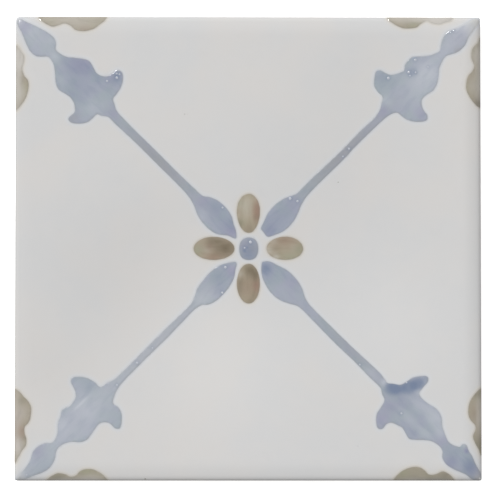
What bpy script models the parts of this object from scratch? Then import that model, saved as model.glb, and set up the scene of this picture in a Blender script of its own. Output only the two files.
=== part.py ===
"""A square glazed ceramic wall tile, 152 mm a side, lying on its back with the glazed face up.

The tile is pressed and fired as one piece. Its face is flat in the middle and falls away a little towards
the edges, as a glaze that was poured and wiped does. The arris is rounded, the back has shallow keying
grooves for the adhesive, and one corner is worn rounder than the others.

Metres, +Z out of the glazed face, +Y towards the top of the pattern, origin at the middle of the back.
"""

import math

import bmesh
import bpy
from mathutils import Vector

MM = 0.001

# The plate
SIDE = 152.0 * MM
THICKNESS = 9.5 * MM

# The face: how far it falls towards the edges, and over what width
CUSHION_WIDTH = 6.0 * MM
CUSHION_DROP = 0.35 * MM
CUSHION_STEPS = (1.5 * MM, 2.6 * MM, 4.0 * MM, CUSHION_WIDTH)

# The edges
ARRIS_RADIUS = 0.9 * MM
ARRIS_SEGMENTS = 4
FOOT_CHAMFER = 0.4 * MM
CORNER_RADIUS = 0.6 * MM
WORN_CORNER_RADIUS = 1.3 * MM
CORNER_SEGMENTS = 3

# The back: stopped grooves inside a plain rim
RIM_WIDTH = 7.0 * MM
GROOVE_COUNT = 12
GROOVE_PITCH = 11.4 * MM
GROOVE_WIDTH = 5.5 * MM
GROOVE_DEPTH = 1.0 * MM
GROOVE_DRAFT = 0.4 * MM

# The glaze's colour, linear
WHITE_GLAZE = (0.63, 0.62, 0.61, 1.0)
GLAZE_ROUGHNESS = 0.16
SMOOTH_ANGLE = math.radians(28)


def clear_scene():
    """Removes whatever the opened file holds."""
    for old in list(bpy.data.objects):
        bpy.data.objects.remove(old, do_unlink=True)


def glaze_material():
    """The plain glaze that covers the tile."""
    material = bpy.data.materials.new("white_glaze")
    material.use_nodes = True
    shader = material.node_tree.nodes["Principled BSDF"]
    shader.inputs["Base Color"].default_value = WHITE_GLAZE
    shader.inputs["Roughness"].default_value = GLAZE_ROUGHNESS
    shader.inputs["Metallic"].default_value = 0.0
    return material


def crown_height(inset):
    """How high the face stands at a distance in from the tile's edge, past the arris."""
    left = 1.0 - (min(inset, CUSHION_WIDTH) - ARRIS_RADIUS) / (CUSHION_WIDTH - ARRIS_RADIUS)
    return THICKNESS - CUSHION_DROP * left * left


def face_profile():
    """The section from the top of a side to the level middle, as (distance in from the edge, height)."""
    shoulder = THICKNESS - CUSHION_DROP - ARRIS_RADIUS
    turns = [(i + 1) / ARRIS_SEGMENTS * math.pi / 2 for i in range(ARRIS_SEGMENTS)]
    arris = [(ARRIS_RADIUS * (1 - math.cos(a)), shoulder + ARRIS_RADIUS * math.sin(a)) for a in turns]
    return arris + [(inset, crown_height(inset)) for inset in CUSHION_STEPS]


def plate(bm):
    """The square plate between its foot chamfer and its arris."""
    foot = FOOT_CHAMFER
    shoulder = THICKNESS - CUSHION_DROP - ARRIS_RADIUS
    bmesh.ops.create_cube(bm, size=1.0)
    bmesh.ops.scale(bm, vec=Vector((SIDE, SIDE, shoulder - foot)), verts=bm.verts)
    bmesh.ops.translate(bm, vec=Vector((0.0, 0.0, (shoulder + foot) / 2)), verts=bm.verts)


def is_worn(edge):
    """True for the upright edge at the top left of the pattern."""
    middle = (edge.verts[0].co + edge.verts[1].co) / 2
    return middle.x < 0 < middle.y


def round_corners(bm):
    """Rounds the four upright edges, one of them more."""
    upright = [e for e in bm.edges if abs((e.verts[0].co - e.verts[1].co).z) > THICKNESS / 2]
    for worn, radius in ((False, CORNER_RADIUS), (True, WORN_CORNER_RADIUS)):
        edges = [e for e in upright if e.is_valid and is_worn(e) == worn]
        bmesh.ops.bevel(
            bm,
            geom=edges,
            offset=radius,
            segments=CORNER_SEGMENTS,
            profile=0.5,
            affect="EDGES",
            material=-1,
        )


def level_face(bm, up):
    """The largest level face that looks up, or down."""
    bm.normal_update()
    level = [f for f in bm.faces if f.normal.z * up > 0.999]
    return max(level, key=lambda f: f.calc_area())


def draw_in(bm, up, before, inset, height):
    """Extrudes the level face to a new height and a new distance in from the tile's edge.

    The outline is square, so scaling it about the middle moves each side in by the same distance.
    """
    level = level_face(bm, up)
    grown = bmesh.ops.extrude_face_region(bm, geom=[level])["geom"]
    bmesh.ops.delete(bm, geom=[level], context="FACES_ONLY")
    corners = [v for v in grown if isinstance(v, bmesh.types.BMVert)]
    smaller = (SIDE / 2 - inset) / (SIDE / 2 - before)
    rise = height - corners[0].co.z
    bmesh.ops.scale(bm, vec=Vector((smaller, smaller, 1.0)), verts=corners)
    bmesh.ops.translate(bm, vec=Vector((0.0, 0.0, rise)), verts=corners)


def shape_face(bm):
    """Rounds the arris and raises the face along its crown."""
    before = 0.0
    for inset, height in face_profile():
        draw_in(bm, 1, before, inset, height)
        before = inset


def shape_foot(bm):
    """Chamfers the foot down to the level back, and marks off the rim."""
    draw_in(bm, -1, 0.0, FOOT_CHAMFER, 0.0)
    draw_in(bm, -1, FOOT_CHAMFER, RIM_WIDTH, 0.0)


def groove_centres():
    """Where the grooves run, along X. Their number is even, so a rib crosses the middle."""
    return [(i - (GROOVE_COUNT - 1) / 2) * GROOVE_PITCH for i in range(GROOVE_COUNT)]


def is_groove(x):
    """True where a strip of the back, with its middle at x, is sunk."""
    return min(abs(x - centre) for centre in groove_centres()) < GROOVE_WIDTH / 4


def cut_grooves(bm):
    """Sinks the keying grooves into the back, inside its rim."""
    field = [level_face(bm, -1)]
    for centre in groove_centres():
        for side in (-1, 1):
            edges = {e for f in field for e in f.edges}
            corners = {v for f in field for v in f.verts}
            cut = bmesh.ops.bisect_plane(
                bm,
                geom=[*field, *edges, *corners],
                dist=1e-7,
                plane_co=Vector((centre + side * GROOVE_WIDTH / 2, 0.0, 0.0)),
                plane_no=Vector((1.0, 0.0, 0.0)),
            )
            field = [f for f in cut["geom"] if isinstance(f, bmesh.types.BMFace)]
    grooves = [f for f in field if is_groove(f.calc_center_median().x)]
    bmesh.ops.inset_individual(
        bm,
        faces=grooves,
        thickness=GROOVE_DRAFT,
        depth=-GROOVE_DEPTH,
        use_even_offset=True,
    )


def make_tile():
    """The whole tile, as one closed solid."""
    bm = bmesh.new()
    plate(bm)
    round_corners(bm)
    shape_face(bm)
    shape_foot(bm)
    cut_grooves(bm)
    bmesh.ops.recalc_face_normals(bm, faces=bm.faces)
    mesh = bpy.data.meshes.new("tile")
    bm.to_mesh(mesh)
    bm.free()
    mesh.shade_smooth()
    mesh.set_sharp_from_angle(angle=SMOOTH_ANGLE)
    tile = bpy.data.objects.new("tile", mesh)
    tile.data.materials.append(glaze_material())
    bpy.context.scene.collection.objects.link(tile)
    return tile


clear_scene()
make_tile()
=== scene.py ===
"""The looks of a hand-painted ceramic wall tile, lying on its back with the glazed face up.

A tile is made here as a tiler's workshop makes it. A fired clay body comes first. A white glaze coat is
poured over it and runs a little way down its sides. Coloured glazes are then painted on: four sprigs along
the diagonals, a small flower in the middle and half a flower wherever two tiles of the pattern meet.

Every glaze is modelled flat, with its height above the coat as Z, and then draped over the tile's rounded
form.
"""

import logging
import math
from collections.abc import Iterable, Sequence
from dataclasses import dataclass, field
from enum import Enum

import bmesh
import bpy
from mathutils import Matrix, Vector, noise
from mathutils.geometry import interpolate_bezier
from mathutils.kdtree import KDTree


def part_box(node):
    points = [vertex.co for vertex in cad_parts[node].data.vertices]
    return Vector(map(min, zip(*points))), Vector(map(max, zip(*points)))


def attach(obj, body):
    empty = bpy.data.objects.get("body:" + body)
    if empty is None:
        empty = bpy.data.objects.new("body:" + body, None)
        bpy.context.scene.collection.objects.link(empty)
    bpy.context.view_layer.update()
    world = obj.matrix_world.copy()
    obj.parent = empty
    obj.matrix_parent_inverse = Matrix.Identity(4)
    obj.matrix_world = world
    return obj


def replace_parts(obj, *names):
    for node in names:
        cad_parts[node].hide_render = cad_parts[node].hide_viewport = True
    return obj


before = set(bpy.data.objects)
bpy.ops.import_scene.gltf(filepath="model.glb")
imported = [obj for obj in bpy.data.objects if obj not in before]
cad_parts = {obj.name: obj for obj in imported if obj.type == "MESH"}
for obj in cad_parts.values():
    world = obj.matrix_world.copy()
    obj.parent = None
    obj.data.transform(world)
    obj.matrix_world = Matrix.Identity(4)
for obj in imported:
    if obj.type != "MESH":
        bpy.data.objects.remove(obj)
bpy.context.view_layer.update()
TILE_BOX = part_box("tile")

MM = 0.001

# Two places this near are the same place
TOUCH = 0.001 * MM

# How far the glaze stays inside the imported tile, at its sides and at its top
SIDE_ROOM = 0.08 * MM
TOP_ROOM = 0.19 * MM

LOG = logging.getLogger("tile")

# How far the painter set the pattern off the middle of the tile, in millimetres
PATTERN_SHIFT = (0.13, -0.33)
PATTERN_SIZE = 0.9984

# The tile's own directions
ACROSS = Vector((1.0, 0.0, 0.0))
UP_THE_FACE = Vector((0.0, 1.0, 0.0))
OUT_OF_THE_FACE = Vector((0.0, 0.0, 1.0))

# Edges that turn more than this stay sharp, in radians
GLAZE_CREASE = math.radians(80)
CLAY_CREASE = math.radians(40)

# The shine of a sound glaze, and how worn it is where the shine is gone
GLAZE_IOR = 1.52
SOUND_SHINE = 0.5
WORN_THROUGH = 0.5

# The level of painted light and shade in the white glaze where no patch changes it
EVENLY_LIT = 0.5

# Where the sockets for colours are on a Mix node
MIX_FIRST = 6
MIX_SECOND = 7
MIX_RESULT = 2

Colour = tuple[float, float, float]
Point = tuple[float, float]
Socket = bpy.types.NodeSocket


def from_display(red: int, green: int, blue: int) -> Colour:
    """Turns a colour as a screen shows it into the linear light that a shader takes.

    Args:
        red: Red, from 0 to 255.
        green: Green, from 0 to 255.
        blue: Blue, from 0 to 255.

    Returns:
        The linear colour.
    """
    shares = [channel / 255 for channel in (red, green, blue)]
    return tuple(s / 12.92 if s <= 0.04045 else ((s + 0.055) / 1.055) ** 2.4 for s in shares)


class Slot(Enum):
    """The record's material slots."""

    WHITE = "white_glaze"
    BLUE = "blue_glaze"
    TAUPE = "taupe_glaze"
    CLAY = "fired_clay"


class Tone(Enum):
    """What a wash of the brush does to a glaze.

    The value is the channel of the wash attribute. The last tone has an attribute of its own.
    """

    DEEP = 0
    CAST = 1
    PALE = 2
    ASH = 3
    BARE = 4


class Side(Enum):
    """A side of the tile. The value turns the +Y side to it, in degrees."""

    TOP = 0
    RIGHT = 270
    BOTTOM = 180
    LEFT = 90


@dataclass(frozen=True)
class Mottle:
    """Noise that is spread into soft blotches, of a size in metres.

    Detail is how many finer layers it has. The blotches begin where the noise passes low, and are full at
    high.
    """

    size: float
    detail: float
    low: float
    high: float
    share: float = 1.0
    stretch: Point = (1.0, 1.0)


@dataclass(frozen=True)
class Ripple:
    """Noise that a surface is bumped with, of a size and a depth in metres."""

    size: float
    detail: float
    depth: float
    stretch: Point = (1.0, 1.0)


class Graph:
    """The node tree of one material, with short calls for the nodes that the finishes share."""

    def __init__(self, name: str) -> None:
        """Starts a material with a Principled shader.

        Args:
            name: The material's name.
        """
        self.material = bpy.data.materials.new(name)
        self.material.use_nodes = True
        self.tree = self.material.node_tree
        self.shader = self.tree.nodes["Principled BSDF"]
        self.place = self.tree.nodes.new("ShaderNodeTexCoord").outputs["Object"]

    def feed(self, socket: Socket, value: Socket | float | Colour) -> None:
        """Links a socket to an output, or sets it to a number or a colour.

        Args:
            socket: The input to feed.
            value: What goes into it.
        """
        if isinstance(value, bpy.types.NodeSocket):
            self.tree.links.new(value, socket)
        elif isinstance(value, tuple):
            socket.default_value = (*value, 1.0)
        else:
            socket.default_value = value

    def attribute(self, name: str) -> bpy.types.Node:
        """A node that reads an attribute of the mesh.

        Args:
            name: The attribute's name.

        Returns:
            The node.
        """
        node = self.tree.nodes.new("ShaderNodeAttribute")
        node.attribute_name = name
        return node

    def channels(self, name: str) -> list[Socket]:
        """The four channels of a colour attribute.

        Args:
            name: The attribute's name.

        Returns:
            Its red, green, blue and alpha outputs.
        """
        node = self.attribute(name)
        split = self.tree.nodes.new("ShaderNodeSeparateColor")
        self.feed(split.inputs["Color"], node.outputs["Color"])
        return [*split.outputs, node.outputs["Alpha"]]

    def grain(self, kind: Mottle | Ripple, turn: float) -> Socket:
        """Noise in the tile's own coordinates.

        Args:
            kind: Its size, its detail, and how much longer it is along its own X and Y.
            turn: How far those are turned about Z, in degrees.

        Returns:
            The noise, about 0.5 on average.
        """
        mapping = self.tree.nodes.new("ShaderNodeMapping")
        mapping.vector_type = "TEXTURE"
        mapping.inputs["Rotation"].default_value = (0.0, 0.0, math.radians(turn))
        mapping.inputs["Scale"].default_value = (*kind.stretch, 1.0)
        self.feed(mapping.inputs["Vector"], self.place)
        node = self.tree.nodes.new("ShaderNodeTexNoise")
        self.feed(node.inputs["Vector"], mapping.outputs["Vector"])
        node.inputs["Scale"].default_value = 1 / kind.size
        node.inputs["Detail"].default_value = kind.detail
        node.inputs["Roughness"].default_value = 0.5
        return node.outputs["Fac"]

    def mottle(self, kind: Mottle, turn: float = 0.0) -> Socket:
        """Soft blotches, turned about Z by some degrees."""
        return self.mapped(self.grain(kind, turn), kind.low, kind.high, 0.0, kind.share)

    def mapped(
        self, value: Socket, low: float, high: float, to_low: float = 0.0, to_high: float = 1.0
    ) -> Socket:
        """A value spread smoothly from one range to another, and held at its ends.

        Args:
            value: The value.
            low: Where the first range begins.
            high: Where it ends.
            to_low: What low becomes.
            to_high: What high becomes.

        Returns:
            The new value.
        """
        node = self.tree.nodes.new("ShaderNodeMapRange")
        node.interpolation_type = "SMOOTHSTEP"
        self.feed(node.inputs["Value"], value)
        names = ("From Min", "From Max", "To Min", "To Max")
        for name, number in zip(names, (low, high, to_low, to_high)):
            node.inputs[name].default_value = number
        return node.outputs["Result"]

    def combine(self, operation: str, first: Socket | float, second: Socket | float) -> Socket:
        """Two values put together, and held between 0 and 1.

        Args:
            operation: The Math node's operation.
            first: The first value.
            second: The second value.

        Returns:
            The result.
        """
        node = self.tree.nodes.new("ShaderNodeMath")
        node.operation = operation
        node.use_clamp = True
        self.feed(node.inputs[0], first)
        self.feed(node.inputs[1], second)
        return node.outputs["Value"]

    def mix(self, share: Socket | float, first: Socket | Colour, second: Socket | Colour) -> Socket:
        """A mix of two colours.

        Args:
            share: The second colour's share.
            first: The first colour.
            second: The second colour.

        Returns:
            The mixed colour.
        """
        node = self.tree.nodes.new("ShaderNodeMix")
        node.data_type = "RGBA"
        self.feed(node.inputs["Factor"], share)
        self.feed(node.inputs[MIX_FIRST], first)
        self.feed(node.inputs[MIX_SECOND], second)
        return node.outputs[MIX_RESULT]

    def bump(self, height: Socket, depth: float, under: Socket | None = None) -> Socket:
        """A bumped normal.

        Args:
            height: The height, from 0 to 1.
            depth: How many metres 1 stands for.
            under: A normal that this one adds to.

        Returns:
            The normal.
        """
        node = self.tree.nodes.new("ShaderNodeBump")
        node.inputs["Strength"].default_value = 1.0
        node.inputs["Distance"].default_value = depth
        self.feed(node.inputs["Height"], height)
        if under is not None:
            self.feed(node.inputs["Normal"], under)
        return node.outputs["Normal"]

    def rippled(self, kind: Ripple, under: Socket | None = None, turn: float = 0.0) -> Socket:
        """A normal that is bumped with a ripple.

        Args:
            kind: The ripple.
            under: A normal that this one adds to.
            turn: How far the ripple is turned about Z, in degrees.

        Returns:
            The normal.
        """
        return self.bump(self.grain(kind, turn), kind.depth, under)

    def glaze_gloss(self, sound: Socket, worn: Socket, worn_roughness: float) -> Socket:
        """Gives the shader a glaze's shine, which is lost where it is worn.

        Args:
            sound: The roughness of the sound glaze.
            worn: How worn the glaze is.
            worn_roughness: What full wear adds to the roughness.

        Returns:
            The roughness.
        """
        self.shader.inputs["IOR"].default_value = GLAZE_IOR
        shine = self.mapped(worn, 0.0, WORN_THROUGH, SOUND_SHINE, 0.0)
        self.feed(self.shader.inputs["Specular IOR Level"], shine)
        return self.combine("ADD", sound, self.combine("MULTIPLY", worn, worn_roughness))

    def finish(self, colour: Socket, roughness: Socket, normal: Socket) -> bpy.types.Material:
        """Feeds the shader.

        Args:
            colour: The base colour.
            roughness: The roughness.
            normal: The bumped normal.

        Returns:
            The material.
        """
        self.feed(self.shader.inputs["Base Color"], colour)
        self.feed(self.shader.inputs["Roughness"], roughness)
        self.feed(self.shader.inputs["Normal"], normal)
        return self.material


@dataclass(frozen=True)
class BisqueFinish:
    """The bare fired clay of the sides and the back."""

    name: str = "fired_clay"
    clay: Colour = from_display(214, 200, 182)
    iron: Colour = from_display(178, 152, 122)
    dust: Colour = from_display(232, 226, 216)
    speck: Colour = from_display(120, 98, 76)
    clouds: Mottle = Mottle(14 * MM, 3.0, 0.4, 0.7, 0.55)
    powder: Mottle = Mottle(2.5 * MM, 4.0, 0.45, 0.72, 0.5)
    specks: Mottle = Mottle(0.55 * MM, 1.0, 0.68, 0.74, 0.6)
    coarse: Ripple = Ripple(1.3 * MM, 5.0, 0.10 * MM)
    fine: Ripple = Ripple(0.3 * MM, 2.0, 0.03 * MM)
    roughness: Point = (0.78, 0.94)

    def material(self) -> bpy.types.Material:
        """Builds the finish: clouded clay with iron specks, an open grain and dusty lows.

        Returns:
            The material.
        """
        graph = Graph(self.name)
        powder = graph.mottle(self.powder)
        colour = graph.mix(graph.mottle(self.clouds), self.clay, self.iron)
        colour = graph.mix(powder, colour, self.dust)
        colour = graph.mix(graph.mottle(self.specks), colour, self.speck)
        normal = graph.rippled(self.fine, graph.rippled(self.coarse))
        return graph.finish(colour, graph.mapped(powder, 0.0, self.powder.share, *self.roughness), normal)


@dataclass(frozen=True)
class WhiteGlazeFinish:
    """The milky glaze that covers the face. It takes a little colour from the painted glazes beside it."""

    name: str = "white_glaze"
    body: Colour = from_display(207, 206, 205)
    warm: Colour = from_display(208, 206, 204)
    cool: Colour = from_display(205, 205, 205)
    beside_blue: Colour = from_display(205, 207, 210)
    beside_taupe: Colour = from_display(207, 204, 199)
    blue_stain: Colour = from_display(182, 184, 189)
    taupe_stain: Colour = from_display(182, 174, 162)
    stain_from: float = 0.8
    stain_strength: float = 0.4
    # Tints for the broad patches of painted light and painted shade
    painted_light_tint: Colour = from_display(255, 255, 255)
    painted_light_strength: float = 0.22
    painted_shade_tint: Colour = from_display(128, 127, 126)
    painted_shade_strength: float = 0.2
    clouds: Mottle = Mottle(26 * MM, 2.0, 0.35, 0.65)
    veil: Mottle = Mottle(7 * MM, 3.0, 0.45, 0.7, 0.6)
    ripple: Ripple = Ripple(3.2 * MM, 1.0, 0.012 * MM)
    peel: Ripple = Ripple(0.7 * MM, 1.0, 0.0012 * MM)
    roughness: Point = (0.07, 0.15)
    worn_roughness: float = 0.45

    def material(self) -> bpy.types.Material:
        """Builds the finish: a faint mottle, tinted margins, broad patches of painted light and shade, and
        the ripple of a poured glaze.

        Returns:
            The material.
        """
        graph = Graph(self.name)
        veil = graph.mottle(self.veil)
        blue, taupe, worn, painted_light = graph.channels("margin")
        colour = graph.mix(graph.mottle(self.clouds), self.warm, self.cool)
        colour = graph.mix(veil, colour, self.body)
        for near, tint, stain in (
            (taupe, self.beside_taupe, self.taupe_stain), (blue, self.beside_blue, self.blue_stain),
        ):
            colour = graph.mix(near, colour, tint)
            touching = graph.mapped(near, self.stain_from, 1.0, 0.0, self.stain_strength)
            colour = graph.mix(touching, colour, stain)
        # Broad patches of painted light and shade: whiter where the painted light is above its even level,
        # greyer below it
        for high, low, tint, strength in (
            (painted_light, EVENLY_LIT, self.painted_light_tint, self.painted_light_strength),
            (EVENLY_LIT, painted_light, self.painted_shade_tint, self.painted_shade_strength),
        ):
            share = graph.combine("MULTIPLY", graph.combine("SUBTRACT", high, low), strength)
            colour = graph.mix(share, colour, tint)
        sound = graph.mapped(veil, 0.0, self.veil.share, *self.roughness)
        roughness = graph.glaze_gloss(sound, worn, self.worn_roughness)
        return graph.finish(colour, roughness, graph.rippled(self.peel, graph.rippled(self.ripple)))


@dataclass(frozen=True)
class PaintedGlazeFinish:
    """A coloured glaze laid on with a brush. It is thickest just inside its outline, and a dark rim is
    painted there, partly for the pooled glaze and partly as painted shade along its lip.
    """

    name: str
    body: Colour
    drift: Colour
    # The rim colour: pooled glaze, and painted shade just inside the outline
    rim: Colour
    deep: Colour
    cast: Colour
    pale: Colour
    ash: Colour
    thin: Colour = from_display(197, 197, 195)
    thin_width: float = 0.44
    thin_strength: float = 0.55
    rim_width: float = 1.35
    rim_and_shade_strength: float = 0.34
    rim_where_pale: float = 0.25
    clouds: Mottle = Mottle(5.5 * MM, 2.0, 0.38, 0.66)
    stroke: Mottle = Mottle(1.5 * MM, 3.0, 0.42, 0.72, 0.14, (3.2, 1.0))
    fraying: Mottle = Mottle(0.9 * MM, 2.0, 0.4, 0.75, 0.35)
    ripple: Ripple = Ripple(1.7 * MM, 2.0, 0.02 * MM, (1.6, 1.0))
    peel: Ripple = Ripple(0.45 * MM, 1.0, 0.0016 * MM)
    roughness: Point = (0.08, 0.2)
    bare_roughness: float = 0.4

    def material(self, turn: float) -> bpy.types.Material:
        """Builds the finish for one painted shape.

        Args:
            turn: The direction of the brush strokes, in degrees from +X.

        Returns:
            The material.
        """
        graph = Graph(f"{self.name}_{turn:.0f}")
        deep, cast, pale, ash = graph.channels("wash")
        inward = graph.attribute("inward").outputs["Fac"]
        bare = graph.attribute("bare").outputs["Fac"]
        frayed = graph.mottle(self.fraying)
        colour = graph.mix(graph.mottle(self.clouds), self.body, self.drift)
        colour = graph.mix(ash, colour, self.ash)
        colour = graph.mix(pale, colour, self.pale)
        colour = graph.mix(cast, colour, self.cast)
        colour = graph.mix(graph.combine("ADD", deep, graph.mottle(self.stroke, turn)), colour, self.deep)
        # The dark rim: pooled glaze, and painted shade along the lip of the relief
        rim = graph.mapped(inward, 0.0, self.rim_width, self.rim_and_shade_strength, 0.0)
        rim = graph.combine("SUBTRACT", rim, frayed)
        rim = graph.combine("MULTIPLY", rim, graph.mapped(pale, 0.0, 1.0, 1.0, self.rim_where_pale))
        colour = graph.mix(rim, colour, self.rim)
        thin = graph.mapped(inward, 0.0, self.thin_width, self.thin_strength, 0.0)
        colour = graph.mix(graph.combine("ADD", thin, bare), colour, self.thin)
        sound = graph.mapped(frayed, 0.0, self.fraying.share, *self.roughness)
        roughness = graph.glaze_gloss(sound, bare, self.bare_roughness)
        normal = graph.rippled(self.peel, graph.rippled(self.ripple, turn=turn))
        return graph.finish(colour, roughness, normal)


BLUE_GLAZE = PaintedGlazeFinish(
    name="blue_glaze",
    body=from_display(160, 165, 178),
    drift=from_display(157, 166, 174),
    rim=from_display(143, 146, 146),
    deep=from_display(116, 129, 153),
    cast=from_display(152, 150, 173),
    pale=from_display(186, 190, 198),
    ash=from_display(151, 152, 157),
)
TAUPE_GLAZE = PaintedGlazeFinish(
    name="taupe_glaze",
    body=from_display(166, 155, 137),
    drift=from_display(161, 152, 132),
    rim=from_display(132, 126, 115),
    deep=from_display(113, 102, 84),
    cast=from_display(149, 126, 111),
    pale=from_display(188, 183, 172),
    ash=from_display(158, 156, 136),
)
THIN_TAUPE_GLAZE = PaintedGlazeFinish(
    name="thin_taupe_glaze",
    body=from_display(162, 154, 139),
    drift=from_display(160, 154, 136),
    rim=from_display(130, 126, 117),
    deep=from_display(112, 108, 98),
    cast=from_display(154, 134, 121),
    pale=from_display(192, 188, 182),
    ash=from_display(156, 154, 132),
)


def at_most_one(value: float) -> float:
    """Holds a value between 0 and 1."""
    return min(max(value, 0.0), 1.0)


@dataclass(frozen=True)
class TileForm:
    """The outer form of the white glaze, which every painted glaze follows.

    A place on it is given in the plan of its face, laid out flat: past the edges of the tile the plan goes
    on over the rounded arris and down the sides.
    """

    half: float
    top: float
    cushion_width: float = 6.0 * MM
    cushion_left: float = 0.12 * MM
    cushion_right: float = 0.8 * MM
    cushion_top: float = 0.44 * MM
    cushion_bottom: float = 0.46 * MM
    arris_reach: float = 1.5 * MM
    arris_drop: float = 0.7 * MM
    corner: float = 0.6 * MM
    worn_corner: float = 1.3 * MM
    swell: float = 0.022 * MM
    swell_size: float = 13.0 * MM
    dimple: float = 0.007 * MM
    dimple_size: float = 3.6 * MM
    side_share: float = 0.35
    shrunk: float = 0.9968

    def corner_radius(self, x: float, y: float) -> float:
        """The radius of the nearest corner: the top left one is worn."""
        return self.worn_corner if x < 0 < y else self.corner

    def outward(self, x: float, y: float) -> tuple[float, Vector]:
        """How far a place lies outside the tile's edge, and the direction away from the tile.

        Args:
            x: The place across the tile.
            y: The place up the tile.

        Returns:
            The distance, below zero on the face, and the unit direction in the plan.
        """
        radius = self.corner_radius(x, y)
        across = abs(x) - (self.half - radius)
        along = abs(y) - (self.half - radius)
        if across > 0 and along > 0:
            reach = Vector((across, along))
            distance = reach.length - radius
            way = reach.normalized()
        else:
            distance = max(across, along) - radius
            way = Vector((1.0, 0.0)) if across > along else Vector((0.0, 1.0))
        return distance, Vector((math.copysign(way.x, x), math.copysign(way.y, y)))

    def fall(self, place: float, low_drop: float, high_drop: float) -> float:
        """How far the face has fallen towards the nearer of two opposite sides.

        Args:
            place: The place, from the middle line between the sides.
            low_drop: How far the face falls in all towards the side below zero.
            high_drop: How far it falls towards the other side.

        Returns:
            The fall.
        """
        span = self.cushion_width - self.arris_reach
        share = max(1 - (self.half - abs(place) - self.arris_reach) / span, 0.0)
        drop = low_drop if place < 0 else high_drop
        return drop * (share * share if share < 1 else 2 * share - 1)

    def ripple(self, x: float, y: float) -> float:
        """How far the poured glaze stands out from its smooth form.

        Args:
            x: The place across the tile.
            y: The place up the tile.

        Returns:
            The distance, below zero in a hollow.
        """
        broad = noise.noise(Vector((x, y, 0.0)) / self.swell_size)
        small = noise.noise(Vector((x, y, 0.05)) / self.dimple_size)
        return self.swell * broad + self.dimple * small

    def arris_length(self) -> float:
        """How long the surface is round the arris, which is a quarter of an ellipse."""
        flatness = ((self.arris_reach - self.arris_drop) / (self.arris_reach + self.arris_drop)) ** 2
        return math.pi / 4 * (self.arris_reach + self.arris_drop) * (1 + flatness / 4)

    def drape(self, x: float, y: float, lift: float) -> Vector:
        """The place in space of a place in the plan.

        Args:
            x: The place across the tile.
            y: The place up the tile.
            lift: How far it stands off the glaze.

        Returns:
            The place in space.
        """
        distance, way = self.outward(x, y)
        run = max(self.arris_reach + distance, 0.0)
        angle = min(run / self.arris_length(), 1.0) * math.pi / 2
        flat = Vector((x, y)) + way * (self.arris_reach * math.sin(angle) - run)
        across = self.fall(flat.x, self.cushion_left, self.cushion_right)
        along = self.fall(flat.y, self.cushion_bottom, self.cushion_top)
        drop = math.hypot(across, along) + self.arris_drop * (1 - math.cos(angle))
        drop += max(run - self.arris_length(), 0.0)
        lift += self.ripple(x, y)
        if lift > 0:
            lift *= 1 - (1 - self.side_share) * math.sin(angle)
        off = Vector((math.sin(angle) / self.arris_reach, math.cos(angle) / self.arris_drop))
        off = off.normalized() * lift
        flat += way * off.x
        return Vector((flat.x, flat.y * self.shrunk, self.top - drop + off.y))

    def drape_all(self, bm: bmesh.types.BMesh) -> None:
        """Drapes a flat mesh, whose Z is its lift.

        Args:
            bm: The mesh.
        """
        for corner in bm.verts:
            corner.co = self.drape(*corner.co)


def make_piece(
    name: str, bm: bmesh.types.BMesh, material: bpy.types.Material, crease: float = GLAZE_CREASE
) -> bpy.types.Object:
    """Makes a finished mesh a piece of the tile.

    Args:
        name: The piece's name.
        bm: Its mesh, which is freed.
        material: Its finish.
        crease: Edges that turn more than this stay sharp, in radians.

    Returns:
        The piece.
    """
    bmesh.ops.recalc_face_normals(bm, faces=bm.faces)
    mesh = bpy.data.meshes.new(name)
    bm.to_mesh(mesh)
    bm.free()
    mesh.shade_smooth()
    mesh.set_sharp_from_angle(angle=crease)
    mesh.materials.append(material)
    piece = bpy.data.objects.new(name, mesh)
    bpy.context.scene.collection.objects.link(piece)
    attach(piece, "root")
    LOG.info("%s: %d faces", name, len(mesh.polygons))
    return piece


def cut_across(
    bm: bmesh.types.BMesh, faces: Iterable[bmesh.types.BMFace], places: Iterable[float], axis: Vector
) -> list[bmesh.types.BMFace]:
    """Cuts faces along parallel planes.

    Args:
        bm: The mesh.
        faces: The faces to cut.
        places: Where the planes stand along the axis.
        axis: The planes' normal.

    Returns:
        The faces after the cuts.
    """
    left = list(faces)
    for place in places:
        edges = {edge for face in left for edge in face.edges}
        corners = {corner for face in left for corner in face.verts}
        cut = bmesh.ops.bisect_plane(
            bm, geom=[*left, *edges, *corners], dist=1e-8, plane_co=axis * place, plane_no=axis
        )
        left = [part for part in cut["geom"] if isinstance(part, bmesh.types.BMFace)]
    return left


def rim_of(bm: bmesh.types.BMesh) -> list[bmesh.types.BMEdge]:
    """The open edges of a sheet."""
    return [edge for edge in bm.edges if edge.is_boundary]


def grow_rim(bm: bmesh.types.BMesh) -> list[bmesh.types.BMVert]:
    """Extrudes the open edge of a sheet in place.

    Args:
        bm: The sheet.

    Returns:
        The new corners.
    """
    grown = bmesh.ops.extrude_edge_only(bm, edges=rim_of(bm))["geom"]
    return [part for part in grown if isinstance(part, bmesh.types.BMVert)]


def smooth_loop(points: Sequence[Point], step: float, multiple: int) -> list[Vector]:
    """A closed curve through a few points, with points at even steps along it.

    Args:
        points: The points that it goes through.
        step: The step.
        multiple: A number that the count of points can be divided by.

    Returns:
        The points along the curve.
    """
    knots = [Vector(point) for point in points]
    count = len(knots)
    ways = [(knots[(i + 1) % count] - knots[i - 1]).normalized() for i in range(count)]
    fine: list[Vector] = []
    for i, start in enumerate(knots):
        end = knots[(i + 1) % count]
        arm = (end - start).length / 3
        pieces = max(int(3 * arm / step * 2), 4)
        last_way = ways[(i + 1) % count]
        curve = interpolate_bezier(start, start + ways[i] * arm, end - last_way * arm, end, pieces)
        fine += [point.to_2d() for point in curve[:-1]]
    return even_steps(fine, step, multiple)


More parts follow.
